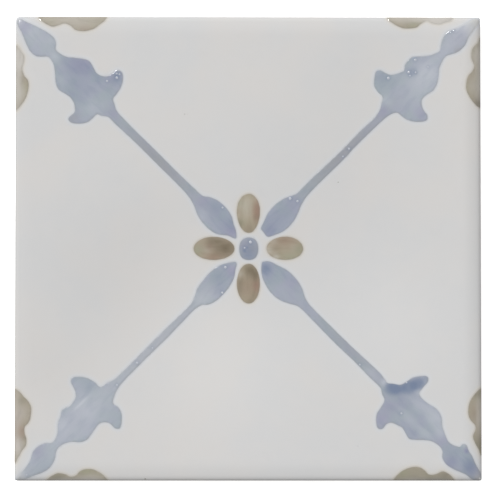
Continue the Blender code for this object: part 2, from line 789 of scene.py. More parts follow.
def even_steps(loop: Sequence[Vector], step: float, multiple: int) -> list[Vector]:
    """Sets out points at even steps along a closed line.

    Args:
        loop: The line's own points.
        step: About how long a step is.
        multiple: A number that the count of points can be divided by.

    Returns:
        The new points.
    """
    lengths = [(loop[i - 1] - point).length for i, point in enumerate(loop)]
    count = round(sum(lengths) / step / multiple) * multiple
    stride = sum(lengths) / count
    spaced: list[Vector] = []
    run = 0.0
    for i, point in enumerate(loop):
        while len(spaced) < count and len(spaced) * stride <= run + lengths[i]:
            spaced.append(loop[i - 1].lerp(point, (len(spaced) * stride - run) / lengths[i]))
        run += lengths[i]
    return spaced


@dataclass(frozen=True)
class Spot:
    """A round spot of a shape, in the shape's own frame and in millimetres."""

    u: float
    v: float
    radius: float

    def reach(self, place: Vector, along: float = 1.0) -> float:
        """How far a place is from the spot's middle, in radii. Along makes the spot longer in U."""
        return math.hypot((place.x - self.u) / along, place.y - self.v) / self.radius


@dataclass(frozen=True)
class Wash(Spot):
    """Where the brush left more, less or another colour.

    Along makes it longer in U, and crisp gives it a harder edge.
    """

    tone: Tone
    strength: float
    along: float = 1.0
    crisp: float = 1.0

    def share(self, place: Vector) -> float:
        """How strong the wash is at a place: it fades out past its radius."""
        return self.strength * math.exp(-(self.reach(place, self.along) ** (2 * self.crisp)))


@dataclass(frozen=True)
class Blister(Spot):
    """A small low blister that a gas bubble raised. Its dome is tinted pale, partly as a thin film and
    partly as a painted highlight, and a ring of painted shade lies round it.
    """

    flatness: float = 0.5
    sunk: float = 0.72
    film_and_highlight: float = 1.0
    shade_ring: float = 1.7
    shade_ring_depth: float = 0.3

    def shade_beside(self, place: Vector) -> float:
        """How much painted shade the ring round the blister gives a place, as a share."""
        return self.shade_ring_depth * math.exp(-((self.reach(place) / self.shade_ring) ** 2))


@dataclass(frozen=True)
class PaintedLightPatch(Spot):
    """A broad patch on the white glaze, on the tile's plan, with light painted in above 0 and shade painted
    in below.
    """

    painted_light: float

    def share(self, place: Vector) -> float:
        """How much painted light the patch gives a place, below zero for painted shade: it fades out past
        its radius.
        """
        return self.painted_light * math.exp(-(self.reach(place) ** 2))


@dataclass
class PaintedShape:
    """One closed shape of coloured glaze, drawn in its own frame and in millimetres.

    U runs along its bearing from the middle of the tile, and V to the left of that.
    """

    name: str
    bearing: float
    finish: PaintedGlazeFinish = BLUE_GLAZE
    slot: Slot = Slot.BLUE
    washes: tuple[Wash, ...] = ()
    blisters: tuple[Blister, ...] = ()
    height: float = 0.07
    settled: float = 0.05
    fillet: float = 0.5
    roll: float = 0.9
    lumps: float = 0.3
    lump_size: float = 1.1
    sink: float = 0.015
    bed: float = 0.25
    spread: float = 0.16
    wobble: float = 0.05
    wobble_size: float = 1.5
    fine_step: float = 0.0625
    points_a_step: int = 4
    ring_widths: tuple[float, ...] = (0.05, 0.07, 0.09, 0.11)
    mesh_pitch: float = 0.42
    loop: list[Vector] = field(default_factory=list)

    def knots(self) -> list[Point]:
        """The few points that the outline goes through, anticlockwise."""
        raise NotImplementedError

    def draw(self) -> None:
        """Draws the outline: a smooth curve with a hand's unsteadiness, from which the glaze spread."""
        curve = smooth_loop(self.knots(), self.fine_step, self.points_a_step)
        for i, point in enumerate(curve):
            onward = (curve[(i + 1) % len(curve)] - curve[i - 1]).normalized()
            place = Vector((point.x, point.y, self.bearing)) / self.wobble_size
            shake = Vector((noise.noise(place), noise.noise(place + Vector((31.0, 17.0, 5.0)))))
            self.loop.append(point + shake * self.wobble + Vector((onward.y, -onward.x)) * self.spread)

    def to_plan(self, place: Vector) -> Vector:
        """Turns a place of the shape's frame, in millimetres, into one of the tile's plan, in metres."""
        turned = Matrix.Rotation(math.radians(self.bearing), 2) @ place.to_2d()
        return (turned * PATTERN_SIZE + Vector(PATTERN_SHIFT)) * MM

    def nearness(self) -> KDTree:
        """Sorts the outline's points, to find how far a place is from it.

        Returns:
            A tree of the points.
        """
        tree = KDTree(len(self.loop))
        for i, point in enumerate(self.loop):
            tree.insert(point.to_3d(), i)
        tree.balance()
        return tree

    def relief(self, place: Vector, inward: float) -> float:
        """The height of the glaze: a soft lip, and inside it a film that settled.

        Args:
            place: The place, in millimetres.
            inward: How far it lies in from the outline, in millimetres.

        Returns:
            The height above the white glaze, in millimetres.
        """
        lip = math.sin(at_most_one(inward / self.fillet) * math.pi / 2) ** 2
        past = max(inward - self.fillet, 0.0) / self.roll
        crest = self.settled + (self.height - self.settled) * math.exp(-past * past)
        crest *= 1 + self.lumps * noise.noise(Vector((place.x, place.y, self.bearing)) / self.lump_size)
        return (crest + self.sink) * lip - self.sink

    def sheet(self) -> bmesh.types.BMesh:
        """Cuts the shape out as a flat sheet, with close rings along its outline.

        Returns:
            The sheet, in the shape's own frame and in millimetres.
        """
        outline = self.loop[:: self.points_a_step]
        bm = bmesh.new()
        bmesh.ops.create_circle(bm, cap_ends=True, cap_tris=False, segments=len(outline), radius=1.0)
        bm.verts.ensure_lookup_table()
        for corner, point in zip(bm.verts, outline):
            corner.co = point.to_3d()
        bm.faces.ensure_lookup_table()
        middle = bm.faces[0]
        middle.normal_update()
        for width in self.ring_widths:
            bmesh.ops.inset_region(
                bm, faces=[middle], thickness=width, use_even_offset=True, use_boundary=True
            )
        cells = [middle]
        for axis in (ACROSS, UP_THE_FACE):
            reach = [corner.co @ axis for corner in bm.verts]
            cells = cut_across(bm, cells, self.grid_places(min(reach), max(reach)), axis)
        return bm

    def grid_places(self, low: float, high: float) -> list[float]:
        """Where the grid's lines lie between two places.

        Args:
            low: The lower place.
            high: The higher place.

        Returns:
            The places of the lines.
        """
        first = math.ceil(low / self.mesh_pitch)
        last = math.floor(high / self.mesh_pitch)
        return [i * self.mesh_pitch for i in range(first, last + 1)]

    def raise_relief(self, bm: bmesh.types.BMesh) -> None:
        """Gives each corner its lift and writes its distance from the outline, then closes the underside.

        Args:
            bm: The flat sheet.
        """
        tree = self.nearness()
        inward = bm.verts.layers.float.new("inward")
        for corner in bm.verts:
            corner[inward] = tree.find(corner.co)[2]
            corner.co.z = self.relief(corner.co, corner[inward])
        for corner in grow_rim(bm):
            corner.co.z = -self.bed
        bmesh.ops.edgeloop_fill(bm, edges=rim_of(bm))

    def raise_blisters(self, bm: bmesh.types.BMesh) -> None:
        """Adds the blisters, each a low dome that stands in the film.

        Args:
            bm: The sheet, with its relief and its washes.
        """
        inward = bm.verts.layers.float["inward"]
        wash = bm.verts.layers.float_color["wash"]
        tree = self.nearness()
        for blister in self.blisters:
            place = Vector((blister.u, blister.v, 0.0))
            depth = tree.find(place)[2]
            rise = blister.radius * blister.flatness
            dome = bmesh.ops.create_icosphere(bm, subdivisions=3, radius=blister.radius)["verts"]
            bmesh.ops.scale(bm, vec=Vector((1.0, 1.0, blister.flatness)), verts=dome)
            place.z = self.relief(place, depth) - blister.sunk * rise
            bmesh.ops.translate(bm, vec=place, verts=dome)
            for corner in dome:
                corner[inward] = self.fillet + self.roll
                # Pale on the dome: a thin film and a painted highlight
                corner[wash] = (0.0, 0.0, blister.film_and_highlight, 0.0)

    def dress(self, bm: bmesh.types.BMesh) -> None:
        """Writes the washes, and the painted shade round the blisters, into the wash attribute.

        Args:
            bm: The sheet.
        """
        layer = bm.verts.layers.float_color.new("wash")
        bare = bm.verts.layers.float.new("bare")
        for corner in bm.verts:
            shares = [0.0] * len(Tone)
            for wash in self.washes:
                shares[wash.tone.value] += wash.share(corner.co)
            # A ring of painted shade round each blister, written as a deep wash
            shares[Tone.DEEP.value] += sum(blister.shade_beside(corner.co) for blister in self.blisters)
            *washed, bared = [at_most_one(share) for share in shares]
            corner[layer] = washed
            corner[bare] = bared

    def build(self, form: TileForm) -> bpy.types.Object:
        """Builds the shape on the tile.

        Args:
            form: The glaze that it is painted on.

        Returns:
            The finished piece.
        """
        bm = self.sheet()
        self.raise_relief(bm)
        self.dress(bm)
        self.raise_blisters(bm)
        for corner in bm.verts:
            plan = self.to_plan(corner.co)
            corner.co = form.drape(plan.x, plan.y, corner.co.z * MM)
        return make_piece(self.name, bm, self.finish.material(self.bearing))


@dataclass
class Sprig(PaintedShape):
    """A bud on a long stem that opens into an eared leaf and ends in a lancet at the tile's corner.

    Each side is drawn from the bud's tip outwards.
    """

    left: tuple[Point, ...] = ()
    right: tuple[Point, ...] = ()

    def knots(self) -> list[Point]:
        """The right side outwards, then the left side back."""
        return [*self.right, *reversed(self.left)]


@dataclass
class Petal(PaintedShape):
    """An egg-shaped petal of the flower in the middle."""

    near: float = 5.0
    far: float = 18.0
    left: float = 3.8
    right: float = 3.8
    belly: float = 0.5
    knot_count: int = 20

    def knots(self) -> list[Point]:
        """Points round the egg. The belly is where it is widest, as a share of its length.

        Returns:
            The points.
        """
        middle = self.near + (self.far - self.near) * self.belly
        points = []
        for i in range(self.knot_count):
            angle = math.tau * i / self.knot_count
            half = self.far - middle if math.cos(angle) > 0 else middle - self.near
            width = self.left if math.sin(angle) > 0 else self.right
            points.append((middle + half * math.cos(angle), width * math.sin(angle)))
        return points


@dataclass
class CentreDot(PaintedShape):
    """The round eye of the flower."""

    half_width: float = 3.15
    half_height: float = 3.75
    squareness: float = 0.86
    knot_count: int = 16

    def knots(self) -> list[Point]:
        """Points round a slightly squared oval.

        Returns:
            The points.
        """
        points = []
        for i in range(self.knot_count):
            angle = math.tau * i / self.knot_count
            across = math.copysign(abs(math.cos(angle)) ** self.squareness, math.cos(angle))
            along = math.copysign(abs(math.sin(angle)) ** self.squareness, math.sin(angle))
            points.append((self.half_width * across, self.half_height * along))
        return points


@dataclass
class Scallop(PaintedShape):
    """Half a flower that the tile's edge cuts off. Its glaze runs over the arris and a little way down.

    The inner outline is drawn from one end to the other, with V as the distance from the tile's middle.
    """

    finish: PaintedGlazeFinish = THIN_TAUPE_GLAZE
    slot: Slot = Slot.TAUPE
    inner: tuple[Point, ...] = ()
    edge: float = 76.0
    overrun: float = 2.1
    arris_places: tuple[float, ...] = (
        -1.5, -1.3, -1.1, -0.93, -0.76, -0.6, -0.44, -0.29, -0.14, 0.0, 0.12, 0.24,
    )

    def knots(self) -> list[Point]:
        """The inner outline, then the lower end of the run on the side of the tile.

        Returns:
            The points.
        """
        start, end = self.inner[0][0], self.inner[-1][0]
        shares = (0.97, 0.85, 0.7, 0.55, 0.4, 0.25, 0.12, 0.03)
        depths = (0.5, 0.95, 0.8, 1.0, 0.78, 0.92, 0.7, 0.35)
        run = [(start + (end - start) * s, self.edge + self.overrun * d) for s, d in zip(shares, depths)]
        return [*self.inner, *run]

    def sheet(self) -> bmesh.types.BMesh:
        """Cuts the sheet as the others are, and adds close cuts where it bends over the arris.

        Returns:
            The sheet.
        """
        bm = super().sheet()
        cut_across(bm, bm.faces, [self.edge + place for place in self.arris_places], UP_THE_FACE)
        return bm


@dataclass(frozen=True)
class PinholeFinish:
    """The dirt that has settled in a pinhole."""

    name: str = "pinhole_dirt"
    dirt: Colour = from_display(112, 108, 102)
    fired: Colour = from_display(140, 134, 124)
    grains: Mottle = Mottle(0.12 * MM, 2.0, 0.4, 0.6)
    grain_depth: float = 0.01 * MM
    roughness: Point = (0.6, 0.8)

    def material(self) -> bpy.types.Material:
        """Builds the finish: two browns in fine grains.

        Returns:
            The material.
        """
        graph = Graph(self.name)
        grains = graph.mottle(self.grains)
        colour = graph.mix(grains, self.dirt, self.fired)
        roughness = graph.mapped(grains, 0.0, 1.0, *self.roughness)
        return graph.finish(colour, roughness, graph.bump(grains, self.grain_depth))


@dataclass(frozen=True)
class Pinholes:
    """The pinholes of the white glaze: gas burst out of the clay there, and dirt has filled them level.

    Each is a place in the tile's plan and a radius, in millimetres.
    """

    holes: tuple[tuple[float, float, float], ...] = (
        (-20.8, 43.8, 0.2), (-19.9, 43.8, 0.12), (29.3, 21.5, 0.22), (-33.5, -75.3, 0.3),
        (35.6, -64.8, 0.12),
    )
    flatness: float = 0.4
    sunk: float = 0.7

    def build(self, form: TileForm) -> bpy.types.Object:
        """Builds them as low plugs that stand in the glaze.

        Args:
            form: The glaze.

        Returns:
            The finished piece.
        """
        bm = bmesh.new()
        for x, y, radius in self.holes:
            plug = bmesh.ops.create_icosphere(bm, subdivisions=3, radius=radius * MM)["verts"]
            for corner in plug:
                lift = (corner.co.z - self.sunk * radius * MM) * self.flatness
                corner.co = form.drape(x * MM + corner.co.x, y * MM + corner.co.y, lift)
        return make_piece("pinholes", bm, PinholeFinish().material())


@dataclass
class FiredBody:
    """The clay body: pressed, with keying grooves in its back, and bare below the glaze."""

    side: float
    height: float
    shrunk: float
    shoulder: float = 1.5 * MM
    corner: float = 0.55 * MM
    worn_corner: float = 1.2 * MM
    foot_radius: float = 0.45 * MM
    rim_width: float = 7.0 * MM
    groove_count: int = 12
    groove_pitch: float = 11.4 * MM
    groove_width: float = 5.5 * MM
    groove_depth: float = 1.0 * MM
    groove_draft: float = 0.4 * MM
    groove_round: float = 0.3 * MM
    corner_facets: int = 4
    foot_facets: int = 3
    groove_facets: int = 2
    cut_pitch: float = 3.8 * MM
    cut_heights: tuple[float, ...] = (0.2, 0.4, 0.6)
    unevenness: float = 0.045 * MM
    unevenness_size: float = 9.0 * MM

    def edges_at(self, bm: bmesh.types.BMesh, height: float) -> list[bmesh.types.BMEdge]:
        """The edges that lie level at a height."""
        return [edge for edge in bm.edges if all(abs(end.co.z - height) < TOUCH for end in edge.verts)]

    def block(self, bm: bmesh.types.BMesh) -> None:
        """Makes the slab with its rounded uprights and its rounded foot.

        Args:
            bm: The mesh to fill.
        """
        bmesh.ops.create_cube(bm, size=1.0)
        bmesh.ops.scale(bm, vec=Vector((self.side, self.side, self.height)), verts=bm.verts)
        bmesh.ops.translate(bm, vec=Vector((0.0, 0.0, self.height / 2)), verts=bm.verts)
        for worn, radius in ((False, self.corner), (True, self.worn_corner)):
            uprights = [edge for edge in bm.edges if self.is_upright(edge) and self.is_worn(edge) == worn]
            self.round_off(bm, uprights, radius, self.corner_facets)
        self.round_off(bm, self.edges_at(bm, 0.0), self.foot_radius, self.foot_facets)
        self.round_off(bm, self.edges_at(bm, self.height), self.shoulder, self.corner_facets)

    def round_off(
        self, bm: bmesh.types.BMesh, edges: Sequence[bmesh.types.BMEdge], radius: float, segments: int
    ) -> None:
        """Rounds edges off.

        Args:
            bm: The mesh.
            edges: The edges.
            radius: The radius.
            segments: How many facets the round has.
        """
        bmesh.ops.bevel(
            bm, geom=list(edges), offset=radius, segments=segments, profile=0.5, affect="EDGES", material=-1
        )

    def is_upright(self, edge: bmesh.types.BMEdge) -> bool:
        """Tells the full-height edges at the corners of the slab.

        Args:
            edge: An edge of the slab.

        Returns:
            True for one of them.
        """
        start, end = (corner.co for corner in edge.verts)
        aside = min(abs(start.x), abs(start.y))
        return abs(start.z - end.z) > self.height / 2 and aside > self.side / 2 - TOUCH

    def is_worn(self, edge: bmesh.types.BMEdge) -> bool:
        """True at the top left corner of the pattern."""
        return edge.verts[0].co.x < 0 < edge.verts[0].co.y

    def groove_centres(self) -> list[float]:
        """Where the grooves run, along X."""
        return [(i - (self.groove_count - 1) / 2) * self.groove_pitch for i in range(self.groove_count)]

    def back_face(self, bm: bmesh.types.BMesh) -> bmesh.types.BMFace:
        """The level back."""
        bm.normal_update()
        return max((f for f in bm.faces if f.normal.z < -0.999), key=lambda face: face.calc_area())

    def is_groove(self, middle: Vector) -> bool:
        """True where a part of the back, with its middle there, is sunk."""
        aside = min(abs(middle.x - centre) for centre in self.groove_centres())
        return aside < self.groove_width / 4 and abs(middle.y) < self.side / 4

    def press_grooves(self, bm: bmesh.types.BMesh) -> None:
        """Presses the stopped grooves into the back, and softens their rims.

        Args:
            bm: The slab.
        """
        half = self.groove_width / 2
        sides = [centre + way * half for centre in self.groove_centres() for way in (-1, 1)]
        ends = [way * (self.side / 2 - self.rim_width) for way in (-1, 1)]
        strips = cut_across(bm, [self.back_face(bm)], sides, ACROSS)
        strips = cut_across(bm, strips, ends, UP_THE_FACE)
        grooves = [face for face in strips if self.is_groove(face.calc_center_median())]
        rims = {edge for face in grooves for edge in face.edges}
        bmesh.ops.inset_individual(
            bm, faces=grooves, thickness=self.groove_draft, depth=-self.groove_depth, use_even_offset=True
        )
        floors = {edge for face in grooves for edge in face.edges}
        self.round_off(bm, [*rims, *floors], self.groove_round, self.groove_facets)

    def weather(self, bm: bmesh.types.BMesh) -> None:
        """Makes the clay a little uneven, as a press leaves it.

        Args:
            bm: The slab.
        """
        count = round(self.side / self.cut_pitch)
        places = [self.side * (i / count - 0.5) for i in range(1, count)]
        for axis in (ACROSS, UP_THE_FACE):
            cut_across(bm, bm.faces, places, axis)
        cut_across(bm, bm.faces, [self.height * share for share in self.cut_heights], OUT_OF_THE_FACE)
        bm.normal_update()
        for corner in bm.verts:
            if 10 * TOUCH < corner.co.z < self.height - self.shoulder:
                hollow = 1 + noise.noise(corner.co / self.unevenness_size)
                corner.co -= corner.normal * self.unevenness * hollow

    def build(self) -> bpy.types.Object:
        """Builds the body.

        Returns:
            The finished piece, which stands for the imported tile.
        """
        bm = bmesh.new()
        self.block(bm)
        self.press_grooves(bm)
        self.weather(bm)
        bmesh.ops.scale(bm, vec=Vector((1.0, self.shrunk, 1.0)), verts=bm.verts)
        body = make_piece("fired_body", bm, BisqueFinish().material(), CLAY_CREASE)
        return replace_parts(body, "tile")


@dataclass
class WhiteCoat:
    """The white glaze: a thin shell over the face and part of the sides, with a rounded lip at its end."""

    form: TileForm
    thickness: float = 0.34 * MM
    side_thickness: float = 0.2 * MM
    reach: float = 5.6 * MM
    pitch: float = 0.8 * MM
    rim_insets: tuple[float, ...] = (
        2.1, 1.8, 1.5, 1.3, 1.1, 0.93, 0.76, 0.6, 0.44, 0.29, 0.14, 0.0, -0.12, -0.24, -0.9, -1.7, -2.5,
        -3.3, -4.1, -4.9, -5.6,
    )
    close: float = 1.3 * MM
    margin: float = 0.85 * MM
    worn_reach: float = 2.6 * MM
    run_from: float = 0.6 * MM
    run_size: float = 17.0 * MM
    run_share: float = 0.16
    fine_runs: float = 3.7
    lip: tuple[Point, ...] = ((-0.06, -0.03), (-0.10, -0.09), (-0.10, -0.23), (0.0, -0.24))
    inner_wall: tuple[Point, ...] = ((-0.6, -0.24), (0.2, -0.34))
    # Broad patches of painted light (above 0) and painted shade (below 0) on the white glaze
    clouds: tuple[PaintedLightPatch, ...] = (
        PaintedLightPatch(-48.0, -9.0, 23.0, -0.8),
        PaintedLightPatch(-30.0, 10.0, 17.0, -0.42),
        PaintedLightPatch(-66.0, -38.0, 14.0, -0.5),
        PaintedLightPatch(24.0, 26.0, 26.0, -0.48),
        PaintedLightPatch(36.0, 58.0, 16.0, -0.36),
        PaintedLightPatch(3.0, 1.0, 19.0, -0.36),
        PaintedLightPatch(-9.0, -37.0, 26.0, 0.9),
        PaintedLightPatch(47.0, -26.0, 21.0, 0.67),
    )

    def lines(self) -> list[float]:
        """Where the grid's lines lie: evenly over the face, and closer where it turns over the arris.

        Returns:
            The places of the lines, from the lowest.
        """
        rim = [self.form.half - inset * MM for inset in self.rim_insets]
        count = round(2 * rim[0] / self.pitch)
        middle = [rim[0] * (2 * i / count - 1) for i in range(1, count)]
        return [*(-place for place in reversed(rim)), *middle, *rim]

    def lay_sheet(self) -> bmesh.types.BMesh:
        """Lays out the flat sheet with its rounded corners.

        Returns:
            The sheet in the tile's plan.
        """
        lines = self.lines()
        last = len(lines) - 1
        bm = bmesh.new()
        bmesh.ops.create_grid(bm, x_segments=last, y_segments=last, size=1.0)
        for corner in bm.verts:
            column = round((corner.co.x + 1) / 2 * last)
            row = round((corner.co.y + 1) / 2 * last)
            corner.co = Vector((lines[column], lines[row], 0.0))
        self.trim(bm)
        return bm

    def trim(self, bm: bmesh.types.BMesh) -> None:
        """Trims the sheet's corners to an even distance from the tile's edge.

        Args:
            bm: The sheet.
        """
        beyond = set()
        for corner in bm.verts:
            distance, way = self.form.outward(corner.co.x, corner.co.y)
            if distance > self.reach - 1e-7:
                beyond.add(corner)
                corner.co -= (way * (distance - self.reach)).to_3d()
        outside = [face for face in bm.faces if all(corner in beyond for corner in face.verts)]
        bmesh.ops.delete(bm, geom=outside, context="FACES")

    def refine(self, bm: bmesh.types.BMesh, shapes: Sequence[PaintedShape]) -> dict[Slot, KDTree]:
        """Makes the sheet finer beside the painted shapes.

        Args:
            bm: The sheet.
            shapes: The painted shapes.

        Returns:
            For each painted glaze, a tree that finds the nearest outline.
        """
        trees = {}
        for slot in (Slot.BLUE, Slot.TAUPE):
            painted = [shape for shape in shapes if shape.slot == slot]
            places = [shape.to_plan(point) for shape in painted for point in shape.loop[::2]]
            trees[slot] = KDTree(len(places))
            for i, place in enumerate(places):
                trees[slot].insert(place.to_3d(), i)
            trees[slot].balance()
        near = [
            corner for corner in bm.verts
            if min(tree.find(corner.co)[2] for tree in trees.values()) < self.close
        ]
        edges = {edge for corner in near for face in corner.link_faces for edge in face.edges}
        bmesh.ops.subdivide_edges(bm, edges=list(edges), cuts=1, use_grid_fill=True)
        return trees

    def tint_margins_and_paint_light(self, bm: bmesh.types.BMesh, trees: dict[Slot, KDTree]) -> None:
        """Writes what the glaze took up of the colours beside it, how worn it is, and its painted light and
        shade.

        Args:
            bm: The sheet.
            trees: A tree of the outlines for each painted glaze.
        """
        layer = bm.verts.layers.float_color.new("margin")
        for corner in bm.verts:
            shares = []
            for slot in (Slot.BLUE, Slot.TAUPE):
                reach = trees[slot].find(corner.co)[2] / self.margin
                shares.append(math.exp(-reach * reach))
            reach = (corner.co - Vector((-self.form.half, self.form.half, 0.0))).length / self.worn_reach
            # The painted light and shade of the broad patches goes into the fourth channel
            painted_light_sum = sum(light_patch.share(corner.co / MM) for light_patch in self.clouds)
            corner[layer] = (*shares, math.exp(-reach * reach), EVENLY_LIT * (1 + painted_light_sum))

    def draw_runs(self, bm: bmesh.types.BMesh) -> None:
        """Draws the lower border out into uneven runs.

        Args:
            bm: The sheet.
        """
        for corner in bm.verts:
            distance, way = self.form.outward(corner.co.x, corner.co.y)
            if distance > self.run_from:
                foot = corner.co - (way * distance).to_3d()
                longer = self.run_share * noise.noise(foot / self.run_size)
                longer += self.run_share / 3 * noise.noise(foot / self.run_size * self.fine_runs)
                corner.co += (way * (distance - self.run_from) * longer).to_3d()

    def close_shell(self, bm: bmesh.types.BMesh) -> None:
        """Rounds the lip and closes the shell along the clay: up the sides, and under the face.

        Args:
            bm: The sheet, laid flat.
        """
        for onward, lift in self.lip:
            for corner in grow_rim(bm):
                way = self.form.outward(corner.co.x, corner.co.y)[1]
                corner.co -= (way * onward * MM).to_3d()
                corner.co.z = lift * MM
        for inset, lift in self.inner_wall:
            for corner in grow_rim(bm):
                distance, way = self.form.outward(corner.co.x, corner.co.y)
                corner.co -= (way * (distance + inset * MM)).to_3d()
                corner.co.z = lift * MM
        bmesh.ops.edgeloop_fill(bm, edges=rim_of(bm))

    def build(self, shapes: Sequence[PaintedShape]) -> bpy.types.Object:
        """Builds the coat.

        Args:
            shapes: The painted shapes that lie on it, already drawn.

        Returns:
            The finished piece.
        """
        bm = self.lay_sheet()
        trees = self.refine(bm, shapes)
        self.tint_margins_and_paint_light(bm, trees)
        self.draw_runs(bm)
        self.close_shell(bm)
        self.form.drape_all(bm)
        coat = make_piece("white_glaze", bm, WhiteGlazeFinish().material())
        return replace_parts(coat, "tile")


